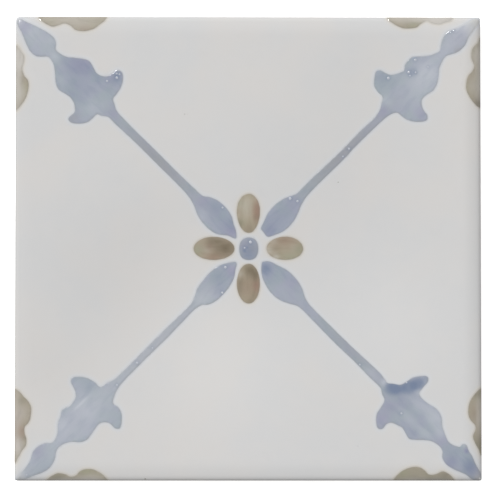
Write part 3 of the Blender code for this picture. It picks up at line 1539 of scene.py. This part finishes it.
def sprigs() -> list[PaintedShape]:
    """The four sprigs, each as its painter's hand drew it."""
    return [
        Sprig(
            name="sprig_top_left",
            bearing=135.0,
            left=(
                (5.5, 0.8), (8.1, 1.95), (10.2, 3.65), (13.0, 4.6), (17.1, 4.6), (20.2, 3.8),
                (22.6, 2.7), (26.0, 1.8), (31.6, 1.54), (40.2, 1.58), (50.5, 1.56), (60.0, 1.9),
                (63.0, 1.95), (65.0, 3.3), (66.2, 3.9), (66.3, 6.0), (66.6, 7.9), (67.9, 9.9),
                (69.9, 11.6), (71.5, 11.8), (72.05, 10.8), (71.95, 8.8), (72.7, 7.7), (74.6, 6.5),
                (76.9, 6.2), (79.5, 6.8), (81.2, 6.95), (83.1, 6.1), (85.0, 4.55), (87.0, 2.95),
                (89.1, 1.97), (91.0, 1.9), (92.3, 3.2), (93.8, 4.45), (96.4, 4.7), (98.8, 3.97),
                (102.6, 2.4), (104.8, 1.6), (106.2, 0.8),
            ),
            right=(
                (5.6, 0.0), (7.2, -1.3), (9.2, -2.3), (11.6, -3.65), (14.7, -4.3), (18.1, -4.1),
                (20.9, -3.07), (23.0, -1.7), (26.1, -1.45), (34.0, -1.28), (44.7, -1.3), (52.3, -1.22),
                (60.0, -1.3), (62.5, -1.55), (64.4, -2.5), (66.1, -3.5), (66.4, -5.4), (67.1, -8.2),
                (68.75, -10.7), (70.5, -11.7), (71.8, -11.1), (72.2, -9.3), (72.7, -7.5), (74.3, -6.1),
                (76.3, -5.7), (78.6, -6.4), (80.5, -6.75), (82.6, -5.7), (84.8, -3.97), (86.7, -2.5),
                (89.4, -1.65), (90.9, -1.7), (92.2, -3.1), (93.7, -3.85), (96.3, -3.8), (100.0, -2.8),
                (103.6, -1.5), (106.2, -0.4),
            ),
            washes=(
                Wash(81.5, -4.5, 4.0, Tone.CAST, 0.7), Wash(83.0, -2.5, 3.5, Tone.DEEP, 0.28),
                Wash(78.5, -5.0, 2.2, Tone.DEEP, 0.3), Wash(76.5, 2.5, 5.5, Tone.DEEP, 0.2),
                Wash(71.0, -8.5, 3.2, Tone.CAST, 0.4), Wash(70.2, -8.5, 2.2, Tone.DEEP, 0.35),
                Wash(70.9, 10.0, 2.0, Tone.ASH, 0.5), Wash(74.2, -4.8, 1.8, Tone.DEEP, 0.3),
                Wash(62.5, 0.0, 2.2, Tone.CAST, 0.5), Wash(67.0, 2.0, 3.5, Tone.PALE, 0.18),
                Wash(70.0, 4.0, 2.6, Tone.PALE, 0.3), Wash(97.0, 0.0, 4.0, Tone.PALE, 0.4, along=1.8),
                Wash(89.5, 0.4, 1.8, Tone.PALE, 0.35), Wash(103.5, 0.0, 2.4, Tone.CAST, 0.4),
                Wash(107.0, 0.2, 2.6, Tone.BARE, 0.35), Wash(8.0, 0.0, 2.4, Tone.CAST, 0.8),
                Wash(14.0, -1.0, 3.2, Tone.DEEP, 0.26, along=2.2), Wash(17.5, -2.3, 2.4, Tone.DEEP, 0.2),
                Wash(21.5, -0.5, 2.4, Tone.CAST, 0.4), Wash(18.5, 2.8, 1.8, Tone.PALE, 0.3),
                Wash(41.0, 0.4, 2.4, Tone.ASH, 0.8, along=6.5), Wash(9.7, -1.2, 2.6, Tone.DEEP, 0.2),
                Wash(100.9, -0.2, 2.4, Tone.PALE, 0.35), Wash(94.0, -2.5, 1.6, Tone.PALE, 0.25),
                Wash(82.4, 4.4, 2.0, Tone.PALE, 0.2),
            ),
            blisters=(
                Blister(71.7, -6.2, 0.50), Blister(70.2, -9.2, 0.62), Blister(71.2, -10.1, 0.50),
                Blister(70.4, -10.6, 0.44), Blister(15.6, -3.5, 0.45),
            ),
        ),
        Sprig(
            name="sprig_top_right",
            bearing=45.0,
            left=(
                (7.2, 0.5), (7.5, 1.9), (9.7, 2.8), (12.3, 3.76), (15.7, 4.17), (19.2, 3.76),
                (21.6, 2.8), (24.0, 1.82), (30.2, 1.8), (35.0, 1.66), (45.4, 1.45), (54.0, 1.6),
                (60.0, 1.45), (62.6, 2.07), (64.6, 3.2), (66.2, 4.4), (66.3, 6.7), (67.0, 9.0),
                (68.9, 10.8), (70.8, 11.8), (72.0, 11.1), (72.6, 9.1), (73.4, 7.6), (75.0, 6.55),
                (76.4, 5.9), (77.3, 5.6), (78.9, 6.6), (80.8, 6.97), (82.7, 6.7), (84.45, 5.17),
                (87.03, 3.1), (89.1, 2.17), (90.4, 2.0), (92.2, 3.17), (94.3, 4.2), (96.7, 4.4),
                (99.8, 3.1), (103.2, 1.9), (106.0, 0.95),
            ),
            right=(
                (7.1, -1.5), (8.9, -2.65), (11.5, -3.8), (14.3, -4.2), (17.4, -3.86), (20.2, -2.9),
                (22.6, -1.9), (26.07, -1.2), (35.0, -1.08), (43.7, -1.18), (47.4, -0.95), (55.7, -0.98),
                (61.2, -1.15), (63.6, -1.5), (65.9, -2.6), (66.2, -4.4), (66.6, -6.55), (67.9, -8.8),
                (69.6, -10.5), (71.1, -11.2), (72.4, -10.3), (72.6, -8.8), (73.3, -6.9), (74.8, -5.4),
                (77.0, -5.34), (79.4, -5.86), (81.7, -5.3), (83.9, -3.97), (86.0, -2.24), (88.1, -1.3),
                (90.5, -0.86), (92.2, -1.66), (94.3, -2.6), (97.4, -2.7), (100.1, -1.7), (103.2, -1.1),
                (106.2, -0.3),
            ),
            washes=(
                Wash(76.0, -2.0, 7.0, Tone.PALE, 0.35), Wash(82.5, -0.5, 4.2, Tone.PALE, 0.66, along=1.3),
                Wash(66.0, 2.6, 2.0, Tone.PALE, 0.45), Wash(97.0, 1.0, 3.4, Tone.PALE, 0.68, along=2.2),
                Wash(63.0, 0.6, 2.2, Tone.CAST, 0.6), Wash(98.5, -0.2, 3.0, Tone.CAST, 0.3, along=1.5),
                Wash(70.5, 8.8, 2.6, Tone.DEEP, 0.22), Wash(79.2, 3.4, 1.7, Tone.DEEP, 0.3),
                Wash(94.6, -2.2, 1.5, Tone.ASH, 0.9), Wash(71.5, -8.5, 2.2, Tone.CAST, 0.4),
                Wash(103.5, 0.2, 3.0, Tone.PALE, 0.9), Wash(8.5, -0.5, 2.6, Tone.CAST, 0.5),
                Wash(106.5, 0.2, 4.0, Tone.BARE, 1.0), Wash(101.5, -2.2, 1.8, Tone.BARE, 0.4),
                Wash(14.0, 0.0, 4.2, Tone.DEEP, 0.3, along=2.0), Wash(20.0, -1.0, 3.0, Tone.CAST, 0.3),
                Wash(43.0, 0.3, 2.4, Tone.ASH, 0.85, along=7.5), Wash(97.5, 0.5, 3.4, Tone.ASH, 0.32),
                # The thin pale streak at U 100.2 along the lancet's upper edge is a painted highlight
                Wash(100.2, 2.75, 0.5, Tone.PALE, 0.8, along=3.0), Wash(9.3, -0.5, 2.2, Tone.DEEP, 0.2),
            ),
            blisters=(
                Blister(72.0, 7.4, 0.62), Blister(78.1, 4.1, 0.62), Blister(77.6, 3.0, 0.38),
                Blister(79.6, 2.4, 0.43), Blister(82.5, 5.4, 0.58), Blister(83.8, 0.8, 0.38),
                Blister(97.1, 3.7, 0.34), Blister(98.2, 3.45, 0.43), Blister(21.2, 2.1, 0.62),
                Blister(22.3, -0.2, 0.53), Blister(46.4, 0.1, 0.50), Blister(43.2, -0.3, 0.38),
            ),
        ),
        Sprig(
            name="sprig_bottom_left",
            bearing=225.0,
            left=(
                (6.1, 0.5), (8.1, 2.0), (10.2, 3.4), (13.0, 4.3), (16.4, 4.7), (19.9, 4.5), (22.3, 3.6),
                (24.0, 2.2), (27.0, 1.6), (33.3, 1.76), (40.5, 1.86), (47.1, 1.76), (54.0, 1.8),
                (60.0, 1.9), (62.9, 2.4), (65.5, 3.45), (66.9, 4.6), (66.7, 6.6), (67.3, 8.7),
                (68.8, 10.4), (71.1, 11.85), (72.3, 10.7), (72.4, 8.5), (73.3, 7.0), (74.8, 6.15),
                (77.0, 6.3), (79.5, 6.8), (81.4, 6.95), (83.4, 6.1), (85.3, 4.03), (87.4, 2.76),
                (89.5, 2.25), (91.2, 2.7), (93.1, 4.03), (95.66, 4.83), (98.1, 4.66), (100.8, 3.55),
                (103.6, 2.2), (106.2, 0.9),
            ),
            right=(
                (6.3, -0.3), (8.7, -1.97), (10.9, -3.0), (14.7, -3.45), (18.5, -3.17), (21.0, -2.7),
                (23.0, -1.7), (26.0, -0.6), (30.2, -0.48), (40.2, -0.68), (50.5, -0.58), (58.4, -0.56),
                (61.2, -0.8), (63.6, -1.55), (66.1, -2.2), (66.3, -4.5), (67.0, -7.0), (68.4, -9.14),
                (70.4, -10.7), (71.8, -10.1), (72.4, -8.4), (73.2, -6.6), (74.6, -5.3), (77.4, -4.8),
                (78.8, -5.3), (80.3, -5.6), (82.2, -4.6), (84.4, -3.45), (86.5, -1.5), (88.8, -0.45),
                (90.1, -0.45), (91.6, -1.75), (93.9, -2.76), (96.4, -2.75), (99.1, -1.4), (101.9, -0.7),
                (106.4, -0.1),
            ),
            washes=(
                Wash(80.0, 0.0, 9.0, Tone.PALE, 0.46, along=2.3), Wash(84.5, -2.0, 2.6, Tone.PALE, 0.35),
                Wash(74.0, 0.5, 4.0, Tone.PALE, 0.2), Wash(74.5, -2.8, 0.4, Tone.PALE, 0.7, along=8.0),
                Wash(68.5, -5.5, 2.6, Tone.DEEP, 0.16), Wash(97.5, 3.2, 3.0, Tone.DEEP, 0.14),
                Wash(95.7, -1.6, 2.4, Tone.CAST, 0.5), Wash(99.0, 0.5, 5.0, Tone.PALE, 0.22),
                Wash(13.5, -0.5, 3.0, Tone.DEEP, 0.3), Wash(9.0, 1.5, 2.4, Tone.CAST, 0.7),
                Wash(22.0, 1.0, 4.0, Tone.PALE, 0.35), Wash(43.0, 0.7, 2.6, Tone.ASH, 0.8, along=7.0),
                Wash(43.0, 0.7, 3.0, Tone.PALE, 0.5, along=7.0), Wash(104.8, 0.3, 2.2, Tone.PALE, 0.6),
                Wash(106.8, 0.3, 2.4, Tone.BARE, 0.8), Wash(15.9, 2.8, 2.0, Tone.DEEP, 0.18),
            ),
            blisters=(
                Blister(61.9, 1.2, 0.45), Blister(9.7, -1.1, 0.62), Blister(16.3, 4.1, 0.50),
                Blister(52.2, 0.7, 0.58), Blister(45.2, 0.8, 0.38), Blister(103.3, 1.3, 0.38),
            ),
        ),
        Sprig(
            name="sprig_bottom_right",
            bearing=315.0,
            left=(
                (6.3, 0.4), (7.8, 1.93), (10.9, 3.0), (14.0, 3.93), (18.5, 3.93), (21.9, 2.97),
                (24.7, 1.6), (27.5, 1.07), (35.0, 1.0), (45.4, 1.07), (52.0, 1.3), (59.0, 1.5),
                (61.5, 1.15), (62.9, 0.95), (64.4, 2.07), (66.3, 3.45), (67.0, 5.3), (67.5, 7.9),
                (69.1, 10.3), (70.7, 11.6), (72.0, 10.6), (72.3, 8.1), (72.9, 5.8), (75.3, 5.34),
                (77.4, 5.6), (79.4, 6.15), (81.9, 6.03), (83.8, 5.17), (85.6, 3.6), (87.7, 2.5),
                (90.5, 1.45), (92.4, 1.7), (93.5, 2.3), (94.3, 2.9), (94.4, 4.0), (95.1, 4.7),
                (96.0, 4.6), (97.0, 4.1), (99.3, 3.55), (102.2, 2.45), (105.0, 1.6), (106.8, 0.75),
            ),
            right=(
                (6.4, -0.5), (8.8, -2.9), (11.9, -4.4), (16.07, -5.14), (19.5, -4.6), (22.3, -3.24),
                (25.0, -1.95), (31.6, -1.86), (41.9, -1.98), (50.5, -1.78), (57.4, -1.9), (62.5, -1.9),
                (64.3, -2.93), (66.2, -3.8), (67.0, -6.0), (67.7, -8.8), (69.3, -10.7), (71.2, -11.8),
                (72.4, -10.9), (72.3, -8.8), (73.1, -7.4), (75.0, -6.6), (76.7, -6.1), (79.1, -6.7),
                (80.9, -7.0), (82.7, -5.7), (84.6, -3.9), (86.7, -2.4), (89.4, -1.8), (91.3, -2.24),
                (92.9, -3.8), (95.6, -4.4), (99.1, -3.45), (101.9, -2.3), (104.3, -1.8), (106.8, -0.6),
            ),
            washes=(
                Wash(65.2, 0.8, 2.4, Tone.DEEP, 0.9, crisp=1.8),
                Wash(67.0, 2.4, 2.1, Tone.DEEP, 0.6, crisp=1.5),
                Wash(68.8, 4.8, 2.3, Tone.DEEP, 0.75, crisp=1.8),
                Wash(70.2, 7.6, 2.2, Tone.DEEP, 0.85, crisp=1.8), Wash(70.8, 10.6, 1.3, Tone.DEEP, 0.3),
                Wash(101.5, 0.3, 2.6, Tone.DEEP, 0.6), Wash(106.0, 0.0, 1.8, Tone.ASH, 1.0),
                Wash(107.0, 0.0, 2.2, Tone.BARE, 0.6), Wash(99.2, 2.0, 2.2, Tone.DEEP, 0.2),
                Wash(96.0, -2.4, 2.0, Tone.DEEP, 0.3), Wash(69.0, -4.0, 3.2, Tone.CAST, 0.4),
                Wash(96.0, -3.0, 2.6, Tone.CAST, 0.6), Wash(89.5, -0.4, 2.4, Tone.CAST, 0.35),
                Wash(82.0, 3.6, 3.2, Tone.PALE, 0.6, along=1.5),
                Wash(79.0, 0.4, 1.3, Tone.DEEP, 0.22, along=5.0), Wash(72.6, 6.8, 1.4, Tone.PALE, 0.8),
                Wash(77.0, -2.5, 1.1, Tone.PALE, 0.3, along=3.6), Wash(81.0, -5.0, 1.6, Tone.DEEP, 0.2),
                Wash(86.5, 1.6, 2.0, Tone.PALE, 0.4), Wash(75.5, 3.0, 3.0, Tone.PALE, 0.25),
                Wash(12.0, -2.0, 2.2, Tone.DEEP, 0.18), Wash(69.6, 0.2, 2.2, Tone.DEEP, 0.22),
                Wash(95.0, 4.2, 0.6, Tone.PALE, 0.5), Wash(62.3, 0.4, 1.2, Tone.PALE, 0.8),
                Wash(94.0, 0.5, 3.2, Tone.DEEP, 0.18), Wash(96.8, 3.5, 0.9, Tone.CAST, 1.0),
                Wash(97.0, 3.4, 0.7, Tone.DEEP, 0.4), Wash(102.6, 0.3, 2.6, Tone.CAST, 0.6),
                Wash(84.0, -2.0, 1.6, Tone.PALE, 0.3, along=2.0), Wash(78.0, -5.6, 2.4, Tone.DEEP, 0.12),
                Wash(70.0, -9.0, 3.0, Tone.CAST, 0.45), Wash(8.6, -0.6, 2.2, Tone.DEEP, 0.75),
                Wash(14.0, 2.6, 2.6, Tone.DEEP, 0.2, along=1.6), Wash(18.5, 2.6, 2.8, Tone.CAST, 0.4),
                Wash(47.0, 0.0, 2.4, Tone.ASH, 0.4, along=6.0),
                Wash(57.0, -0.5, 1.6, Tone.PALE, 0.3, along=2.0),
            ),
            blisters=(Blister(73.2, -2.9, 0.45), Blister(67.3, 5.4, 0.38), Blister(52.4, -1.2, 0.38)),
        ),
    ]


def flower() -> list[PaintedShape]:
    """The flower in the middle: four petals and their eye."""
    taupe = {"finish": TAUPE_GLAZE, "slot": Slot.TAUPE, "height": 0.055, "settled": 0.045}
    return [
        Petal(
            name="petal_top", **taupe,
            bearing=90.0, near=5.15, far=18.1, left=3.95, right=3.7, belly=0.56,
            washes=(
                Wash(12.3, -2.9, 1.7, Tone.CAST, 1.0, along=2.2, crisp=1.4),
                Wash(10.2, -2.7, 1.2, Tone.DEEP, 0.25), Wash(14.0, 0.9, 2.4, Tone.PALE, 0.5, along=1.4),
                Wash(15.0, 2.6, 1.3, Tone.ASH, 0.6), Wash(6.2, 0.0, 2.0, Tone.DEEP, 0.4),
                Wash(8.6, 2.6, 1.5, Tone.ASH, 0.7), Wash(8.3, 2.9, 1.1, Tone.DEEP, 0.35),
            ),
        ),
        Petal(
            name="petal_left", **taupe,
            bearing=180.0, near=4.6, far=18.05, left=3.75, right=3.98, belly=0.52,
            washes=(
                Wash(6.2, -0.4, 2.6, Tone.DEEP, 0.66, crisp=1.5), Wash(8.0, 0.0, 3.4, Tone.CAST, 0.3),
                Wash(9.8, -2.4, 1.9, Tone.DEEP, 0.5), Wash(8.4, 0.6, 1.8, Tone.DEEP, 0.4),
                Wash(10.5, 0.4, 1.6, Tone.DEEP, 0.35), Wash(13.4, 0.4, 1.6, Tone.PALE, 0.3),
                Wash(11.6, 2.8, 1.6, Tone.CAST, 0.7, along=1.8), Wash(12.4, -2.4, 1.9, Tone.DEEP, 0.5),
                Wash(16.6, 0.4, 1.8, Tone.ASH, 0.9), Wash(12.8, -0.9, 1.3, Tone.CAST, 0.5),
                Wash(14.6, -0.6, 3.0, Tone.DEEP, 0.12),
            ),
        ),
        Petal(
            name="petal_right", **taupe,
            bearing=0.0, near=5.75, far=17.8, left=4.05, right=3.72, belly=0.51,
            washes=(
                Wash(11.8, 2.9, 1.7, Tone.CAST, 0.6, along=1.9), Wash(6.4, -0.6, 1.5, Tone.PALE, 0.6),
                Wash(8.8, -2.6, 1.2, Tone.PALE, 0.7), Wash(9.0, 0.4, 1.6, Tone.DEEP, 0.2),
                Wash(12.0, 0.0, 3.5, Tone.DEEP, 0.1, along=1.7), Wash(16.4, 0.0, 1.6, Tone.DEEP, 0.16),
                Wash(13.5, -2.8, 1.8, Tone.ASH, 0.9, along=1.8), Wash(16.4, 0.0, 1.6, Tone.ASH, 0.9),
                Wash(14.6, 0.3, 1.3, Tone.PALE, 0.15), Wash(8.2, 2.8, 1.2, Tone.PALE, 0.5),
            ),
        ),
        Petal(
            name="petal_bottom", **taupe,
            bearing=270.0, near=4.85, far=18.0, left=3.7, right=3.95, belly=0.5,
            washes=(
                Wash(6.8, 0.6, 2.2, Tone.DEEP, 0.75), Wash(9.0, 2.3, 1.8, Tone.DEEP, 0.5),
                Wash(8.2, -2.7, 1.1, Tone.PALE, 0.6), Wash(12.0, 2.7, 1.5, Tone.CAST, 0.9, along=1.8),
                Wash(10.9, -2.6, 1.3, Tone.DEEP, 0.22), Wash(12.0, 0.0, 3.5, Tone.DEEP, 0.06, along=1.7),
                Wash(13.2, -3.0, 1.5, Tone.DEEP, 0.4, along=1.8), Wash(15.6, 2.0, 1.8, Tone.DEEP, 0.25),
                Wash(17.4, 0.4, 1.3, Tone.DEEP, 0.35), Wash(12.4, -0.4, 2.8, Tone.CAST, 0.4, along=1.4),
            ),
        ),
        CentreDot(
            name="centre_dot", bearing=0.0,
            washes=(
                Wash(0.4, -0.6, 4.0, Tone.DEEP, 0.38), Wash(0.0, 0.0, 4.0, Tone.ASH, 0.6),
                Wash(-1.6, 0.8, 1.4, Tone.CAST, 0.3), Wash(-1.4, -0.7, 0.5, Tone.DEEP, 0.5),
                Wash(-0.5, 0.4, 0.4, Tone.DEEP, 0.4), Wash(0.0, -2.6, 2.2, Tone.DEEP, 0.25),
                Wash(1.8, 0.0, 1.6, Tone.ASH, 0.3),
            ),
            blisters=(Blister(0.6, 2.2, 0.69), Blister(-1.35, 0.3, 0.38)),
        ),
    ]


def scallops() -> list[PaintedShape]:
    """The eight half flowers along the tile's edges. Each edge is drawn with U along it."""
    return [
        Scallop(
            name="scallop_top_left", bearing=Side.TOP.value,
            inner=(
                (-68.8, 75.9), (-67.6, 74.7), (-66.1, 73.7), (-64.1, 72.95), (-62.3, 73.4),
                (-60.2, 74.0), (-58.4, 73.3), (-56.9, 72.0), (-55.2, 71.5), (-52.9, 71.6),
                (-50.7, 72.25), (-48.7, 73.7), (-46.4, 75.9),
            ),
            washes=(
                Wash(-57.5, 75.8, 1.5, Tone.PALE, 0.35, along=8.0),
                Wash(-57.0, 73.5, 2.0, Tone.PALE, 0.35, along=6.0),
                Wash(-53.5, 72.2, 1.6, Tone.CAST, 0.2, along=1.6),
            ),
        ),
        Scallop(
            name="scallop_top_right", bearing=Side.TOP.value,
            inner=(
                (45.3, 75.9), (47.0, 74.3), (49.0, 73.15), (51.0, 72.5), (53.2, 72.55), (55.0, 72.9),
                (56.4, 74.0), (58.3, 75.0), (60.2, 74.25), (62.3, 73.95), (64.0, 74.45), (66.8, 75.6),
            ),
            washes=(
                Wash(55.0, 75.8, 1.6, Tone.PALE, 0.65, along=8.0),
                Wash(63.5, 75.0, 2.6, Tone.PALE, 1.0, along=1.8),
                Wash(54.0, 73.8, 1.3, Tone.ASH, 0.8, along=1.8), Wash(52.0, 73.4, 1.6, Tone.DEEP, 0.15),
            ),
        ),
        Scallop(
            name="scallop_right_top", bearing=Side.RIGHT.value,
            inner=(
                (-69.8, 75.8), (-67.9, 74.8), (-66.6, 73.6), (-65.0, 72.9), (-62.9, 72.85),
                (-60.2, 73.75), (-58.5, 73.1), (-57.0, 71.8), (-55.3, 71.25), (-52.6, 71.1),
                (-50.2, 72.1), (-48.2, 73.5), (-46.4, 75.6),
            ),
            washes=(
                Wash(-57.5, 75.9, 1.5, Tone.PALE, 0.8, along=8.0),
                Wash(-53.5, 73.3, 1.8, Tone.PALE, 0.3, along=1.6),
                Wash(-64.0, 73.6, 2.4, Tone.PALE, 0.4, along=1.4), Wash(-47.8, 75.0, 1.5, Tone.DEEP, 0.5),
            ),
        ),
        Scallop(
            name="scallop_right_bottom", bearing=Side.RIGHT.value,
            inner=(
                (45.4, 75.8), (46.8, 74.2), (49.2, 72.4), (51.5, 71.55), (54.2, 71.5), (56.0, 72.2),
                (57.6, 73.6), (59.0, 73.85), (61.2, 73.0), (63.3, 73.6), (65.5, 74.7), (67.6, 75.7),
            ),
            washes=(
                Wash(54.0, 75.7, 1.5, Tone.PALE, 0.8, along=4.0),
                Wash(53.5, 73.4, 1.6, Tone.CAST, 0.3, along=1.6),
                Wash(64.0, 75.0, 2.0, Tone.DEEP, 0.35, along=1.6), Wash(47.5, 74.6, 1.4, Tone.DEEP, 0.3),
            ),
        ),
        Scallop(
            name="scallop_bottom_right", bearing=Side.BOTTOM.value,
            inner=(
                (-67.2, 75.8), (-66.0, 74.2), (-64.2, 73.0), (-62.9, 72.7), (-60.9, 73.6),
                (-58.7, 73.7), (-57.3, 72.4), (-55.6, 71.4), (-53.3, 71.3), (-51.2, 71.9),
                (-49.2, 73.1), (-46.9, 75.7),
            ),
            washes=(
                Wash(-54.0, 75.4, 1.5, Tone.PALE, 0.2, along=3.4),
                Wash(-64.0, 74.3, 1.4, Tone.DEEP, 0.4, along=1.6),
                # The long pale line along the arris is partly thin glaze and partly a painted highlight
                Wash(-57.0, 75.3, 0.5, Tone.PALE, 0.5, along=22.0),
                Wash(-62.5, 75.9, 1.2, Tone.PALE, 0.4, along=3.0),
                Wash(-54.0, 73.5, 2.4, Tone.DEEP, 0.14, along=2.0),
                Wash(-50.0, 73.4, 1.4, Tone.ASH, 0.8, along=1.6),
                Wash(-59.5, 74.8, 1.6, Tone.DEEP, 0.25, along=1.6),
            ),
        ),
        Scallop(
            name="scallop_bottom_left", bearing=Side.BOTTOM.value,
            inner=(
                (45.7, 75.8), (47.0, 74.2), (48.9, 72.85), (51.0, 72.0), (53.4, 72.05), (55.0, 72.8),
                (56.2, 74.0), (58.0, 74.35), (59.8, 73.6), (61.7, 73.3), (63.2, 73.7), (65.8, 75.6),
            ),
            washes=(
                Wash(51.0, 75.4, 1.6, Tone.PALE, 0.6, along=3.0),
                Wash(62.0, 74.3, 1.4, Tone.DEEP, 0.35, along=1.8),
                # The long pale line along the arris is partly thin glaze and partly a painted highlight
                Wash(57.0, 75.3, 0.5, Tone.PALE, 0.5, along=22.0),
                Wash(60.0, 75.9, 1.3, Tone.PALE, 0.5, along=3.0),
                Wash(53.0, 72.8, 1.2, Tone.ASH, 0.7, along=1.8),
            ),
        ),
        Scallop(
            name="scallop_left_bottom", bearing=Side.LEFT.value,
            inner=(
                (-70.2, 75.9), (-68.2, 74.8), (-66.1, 73.7), (-64.4, 72.5), (-62.2, 72.25),
                (-60.2, 72.85), (-58.3, 72.75), (-56.8, 71.5), (-55.0, 70.95), (-52.2, 70.75),
                (-50.2, 71.5), (-48.2, 73.3), (-45.8, 75.8),
            ),
            washes=(
                Wash(-57.5, 75.6, 1.6, Tone.PALE, 0.6, along=8.0),
                Wash(-57.0, 75.0, 2.6, Tone.CAST, 0.25, along=4.0),
                Wash(-64.5, 74.6, 2.0, Tone.PALE, 0.6, along=1.6),
                Wash(-60.0, 73.7, 1.4, Tone.CAST, 0.5, along=1.5),
                Wash(-54.0, 73.6, 2.0, Tone.PALE, 0.35, along=1.5),
                Wash(-61.8, 72.8, 1.0, Tone.DEEP, 0.3), Wash(-49.6, 73.4, 1.4, Tone.DEEP, 0.2),
            ),
        ),
        Scallop(
            name="scallop_left_top", bearing=Side.LEFT.value,
            inner=(
                (45.3, 75.9), (46.9, 74.5), (48.9, 73.1), (50.6, 72.4), (53.2, 71.9), (55.2, 72.1),
                (57.0, 73.4), (59.2, 74.0), (61.2, 73.5), (63.4, 73.45), (65.0, 74.5), (66.9, 75.8),
            ),
            washes=(
                Wash(55.0, 75.8, 1.7, Tone.PALE, 0.8, along=8.0),
                Wash(62.5, 74.6, 2.2, Tone.PALE, 0.9, along=1.6),
                Wash(51.0, 73.8, 1.6, Tone.PALE, 0.3, along=1.6),
            ),
        ),
    ]


@dataclass(frozen=True)
class Studio:
    """A white sweep, an even white surround, one soft light from the upper left and the camera above."""

    floor_half: float = 2.2
    floor_cells: int = 8
    paper: Colour = (0.9, 0.9, 0.9)
    paper_shade: Colour = (0.8865, 0.8865, 0.8865)
    paper_glow: float = 0.75
    paper_roughness: Point = (0.8, 0.9)
    fibres: Mottle = Mottle(0.9 * MM, 3.0, 0.4, 0.6)
    fibre_depth: float = 0.01 * MM
    surround: Colour = (1.0, 1.0, 1.0)
    surround_low: Colour = (0.6, 0.6, 0.6)
    surround_full: float = 0.3
    surround_strength: float = 0.42
    surround_lean: tuple[float, float, float] = (-0.33, 0.08, 0.93)
    key_bearing: float = 118.0
    key_elevation: float = 50.0
    key_width: float = 13.3
    key_strength: float = 2.6
    camera_distance: float = 1.4
    camera_lean_x: float = -0.79
    camera_lean_y: float = -3.5
    aim: tuple[float, float, float] = (0.055 * MM, -0.70 * MM, 8.7 * MM)
    seen_height: float = 162.92 * MM
    sensor: float = 36.0
    seen_far: float = 50.0

    def lay_floor(self) -> None:
        """Lays the white sweep under the tile."""
        bm = bmesh.new()
        cells = self.floor_cells
        bmesh.ops.create_grid(bm, x_segments=cells, y_segments=cells, size=self.floor_half)
        mesh = bpy.data.meshes.new("paper_floor")
        bm.to_mesh(mesh)
        bm.free()
        graph = Graph("paper")
        fibres = graph.mottle(self.fibres)
        colour = graph.mix(fibres, self.paper, self.paper_shade)
        self.glow(graph)
        roughness = graph.mapped(fibres, 0.0, 1.0, *self.paper_roughness)
        graph.finish(colour, roughness, graph.bump(fibres, self.fibre_depth))
        mesh.materials.append(graph.material)
        floor = bpy.data.objects.new("paper_floor", mesh)
        bpy.context.scene.collection.objects.link(floor)
        floor.visible_diffuse = False
        floor.visible_glossy = False

    def glow(self, graph: Graph) -> None:
        """Lights the paper a little from behind, so that it stays white to the edge of the tile."""
        graph.shader.inputs["Emission Color"].default_value = (1.0, 1.0, 1.0, 1.0)
        graph.shader.inputs["Emission Strength"].default_value = self.paper_glow

    def light_surround(self) -> None:
        """Makes the surround: even above, and dim low down and towards the lower right."""
        world = bpy.data.worlds.new("surround")
        world.use_nodes = True
        tree = world.node_tree
        height = tree.nodes.new("ShaderNodeVectorMath")
        height.operation = "DOT_PRODUCT"
        height.inputs[1].default_value = self.surround_lean
        tree.links.new(tree.nodes.new("ShaderNodeTexCoord").outputs["Generated"], height.inputs[0])
        ramp = tree.nodes.new("ShaderNodeValToRGB")
        ramp.color_ramp.elements[0].color = (*self.surround_low, 1.0)
        ramp.color_ramp.elements[1].color = (*self.surround, 1.0)
        ramp.color_ramp.elements[1].position = self.surround_full
        tree.links.new(height.outputs["Value"], ramp.inputs["Fac"])
        back = tree.nodes["Background"]
        tree.links.new(ramp.outputs["Color"], back.inputs["Color"])
        back.inputs["Strength"].default_value = self.surround_strength
        bpy.context.scene.world = world

    def hang_key(self) -> None:
        """Hangs the soft light, turned to the tile."""
        bearing, elevation = math.radians(self.key_bearing), math.radians(self.key_elevation)
        level = math.cos(elevation)
        way = Vector((math.cos(bearing) * level, math.sin(bearing) * level, math.sin(elevation)))
        light = bpy.data.lights.new("key", "SUN")
        light.angle = math.radians(self.key_width)
        light.energy = self.key_strength
        key = bpy.data.objects.new("key", light)
        key.location = way
        key.rotation_euler = (-way).to_track_quat("-Z", "Y").to_euler()
        bpy.context.scene.collection.objects.link(key)

    def set_camera(self) -> None:
        """Sets the camera above the tile, where the photographer stood."""
        lean_x = math.sin(math.radians(self.camera_lean_x))
        lean_y = math.sin(math.radians(self.camera_lean_y))
        back = Vector((lean_x, lean_y, math.sqrt(1 - lean_x * lean_x - lean_y * lean_y)))
        right = UP_THE_FACE.cross(back).normalized()
        turn = Matrix((right, back.cross(right), back)).transposed()
        lens = bpy.data.cameras.new("camera")
        lens.sensor_width = self.sensor
        lens.lens = self.sensor * self.camera_distance / self.seen_height
        lens.clip_end = self.seen_far
        camera = bpy.data.objects.new("camera", lens)
        stand = Vector(self.aim) + back * self.camera_distance
        camera.matrix_world = Matrix.Translation(stand) @ turn.to_4x4()
        bpy.context.scene.collection.objects.link(camera)
        bpy.context.scene.camera = camera

    def build(self) -> None:
        """Sets the whole studio up."""
        self.lay_floor()
        self.light_surround()
        self.hang_key()
        self.set_camera()
        bpy.context.scene.view_settings.view_transform = "Standard"


def main() -> None:
    """Builds the tile and its studio."""
    logging.basicConfig(level=logging.INFO, format="%(name)s: %(message)s")
    low, high = TILE_BOX
    form = TileForm(half=high.x - SIDE_ROOM, top=high.z - TOP_ROOM)
    coat = WhiteCoat(form)
    Studio().build()
    shapes = [*sprigs(), *flower(), *scallops()]
    for shape in shapes:
        shape.draw()
        shape.build(form)
    Pinholes().build(form)
    coat.build(shapes)
    body_height = form.top - form.cushion_right - coat.thickness - low.z
    FiredBody(side=2 * (form.half - coat.side_thickness), height=body_height, shrunk=form.shrunk).build()


if __name__ == "__main__":
    main()
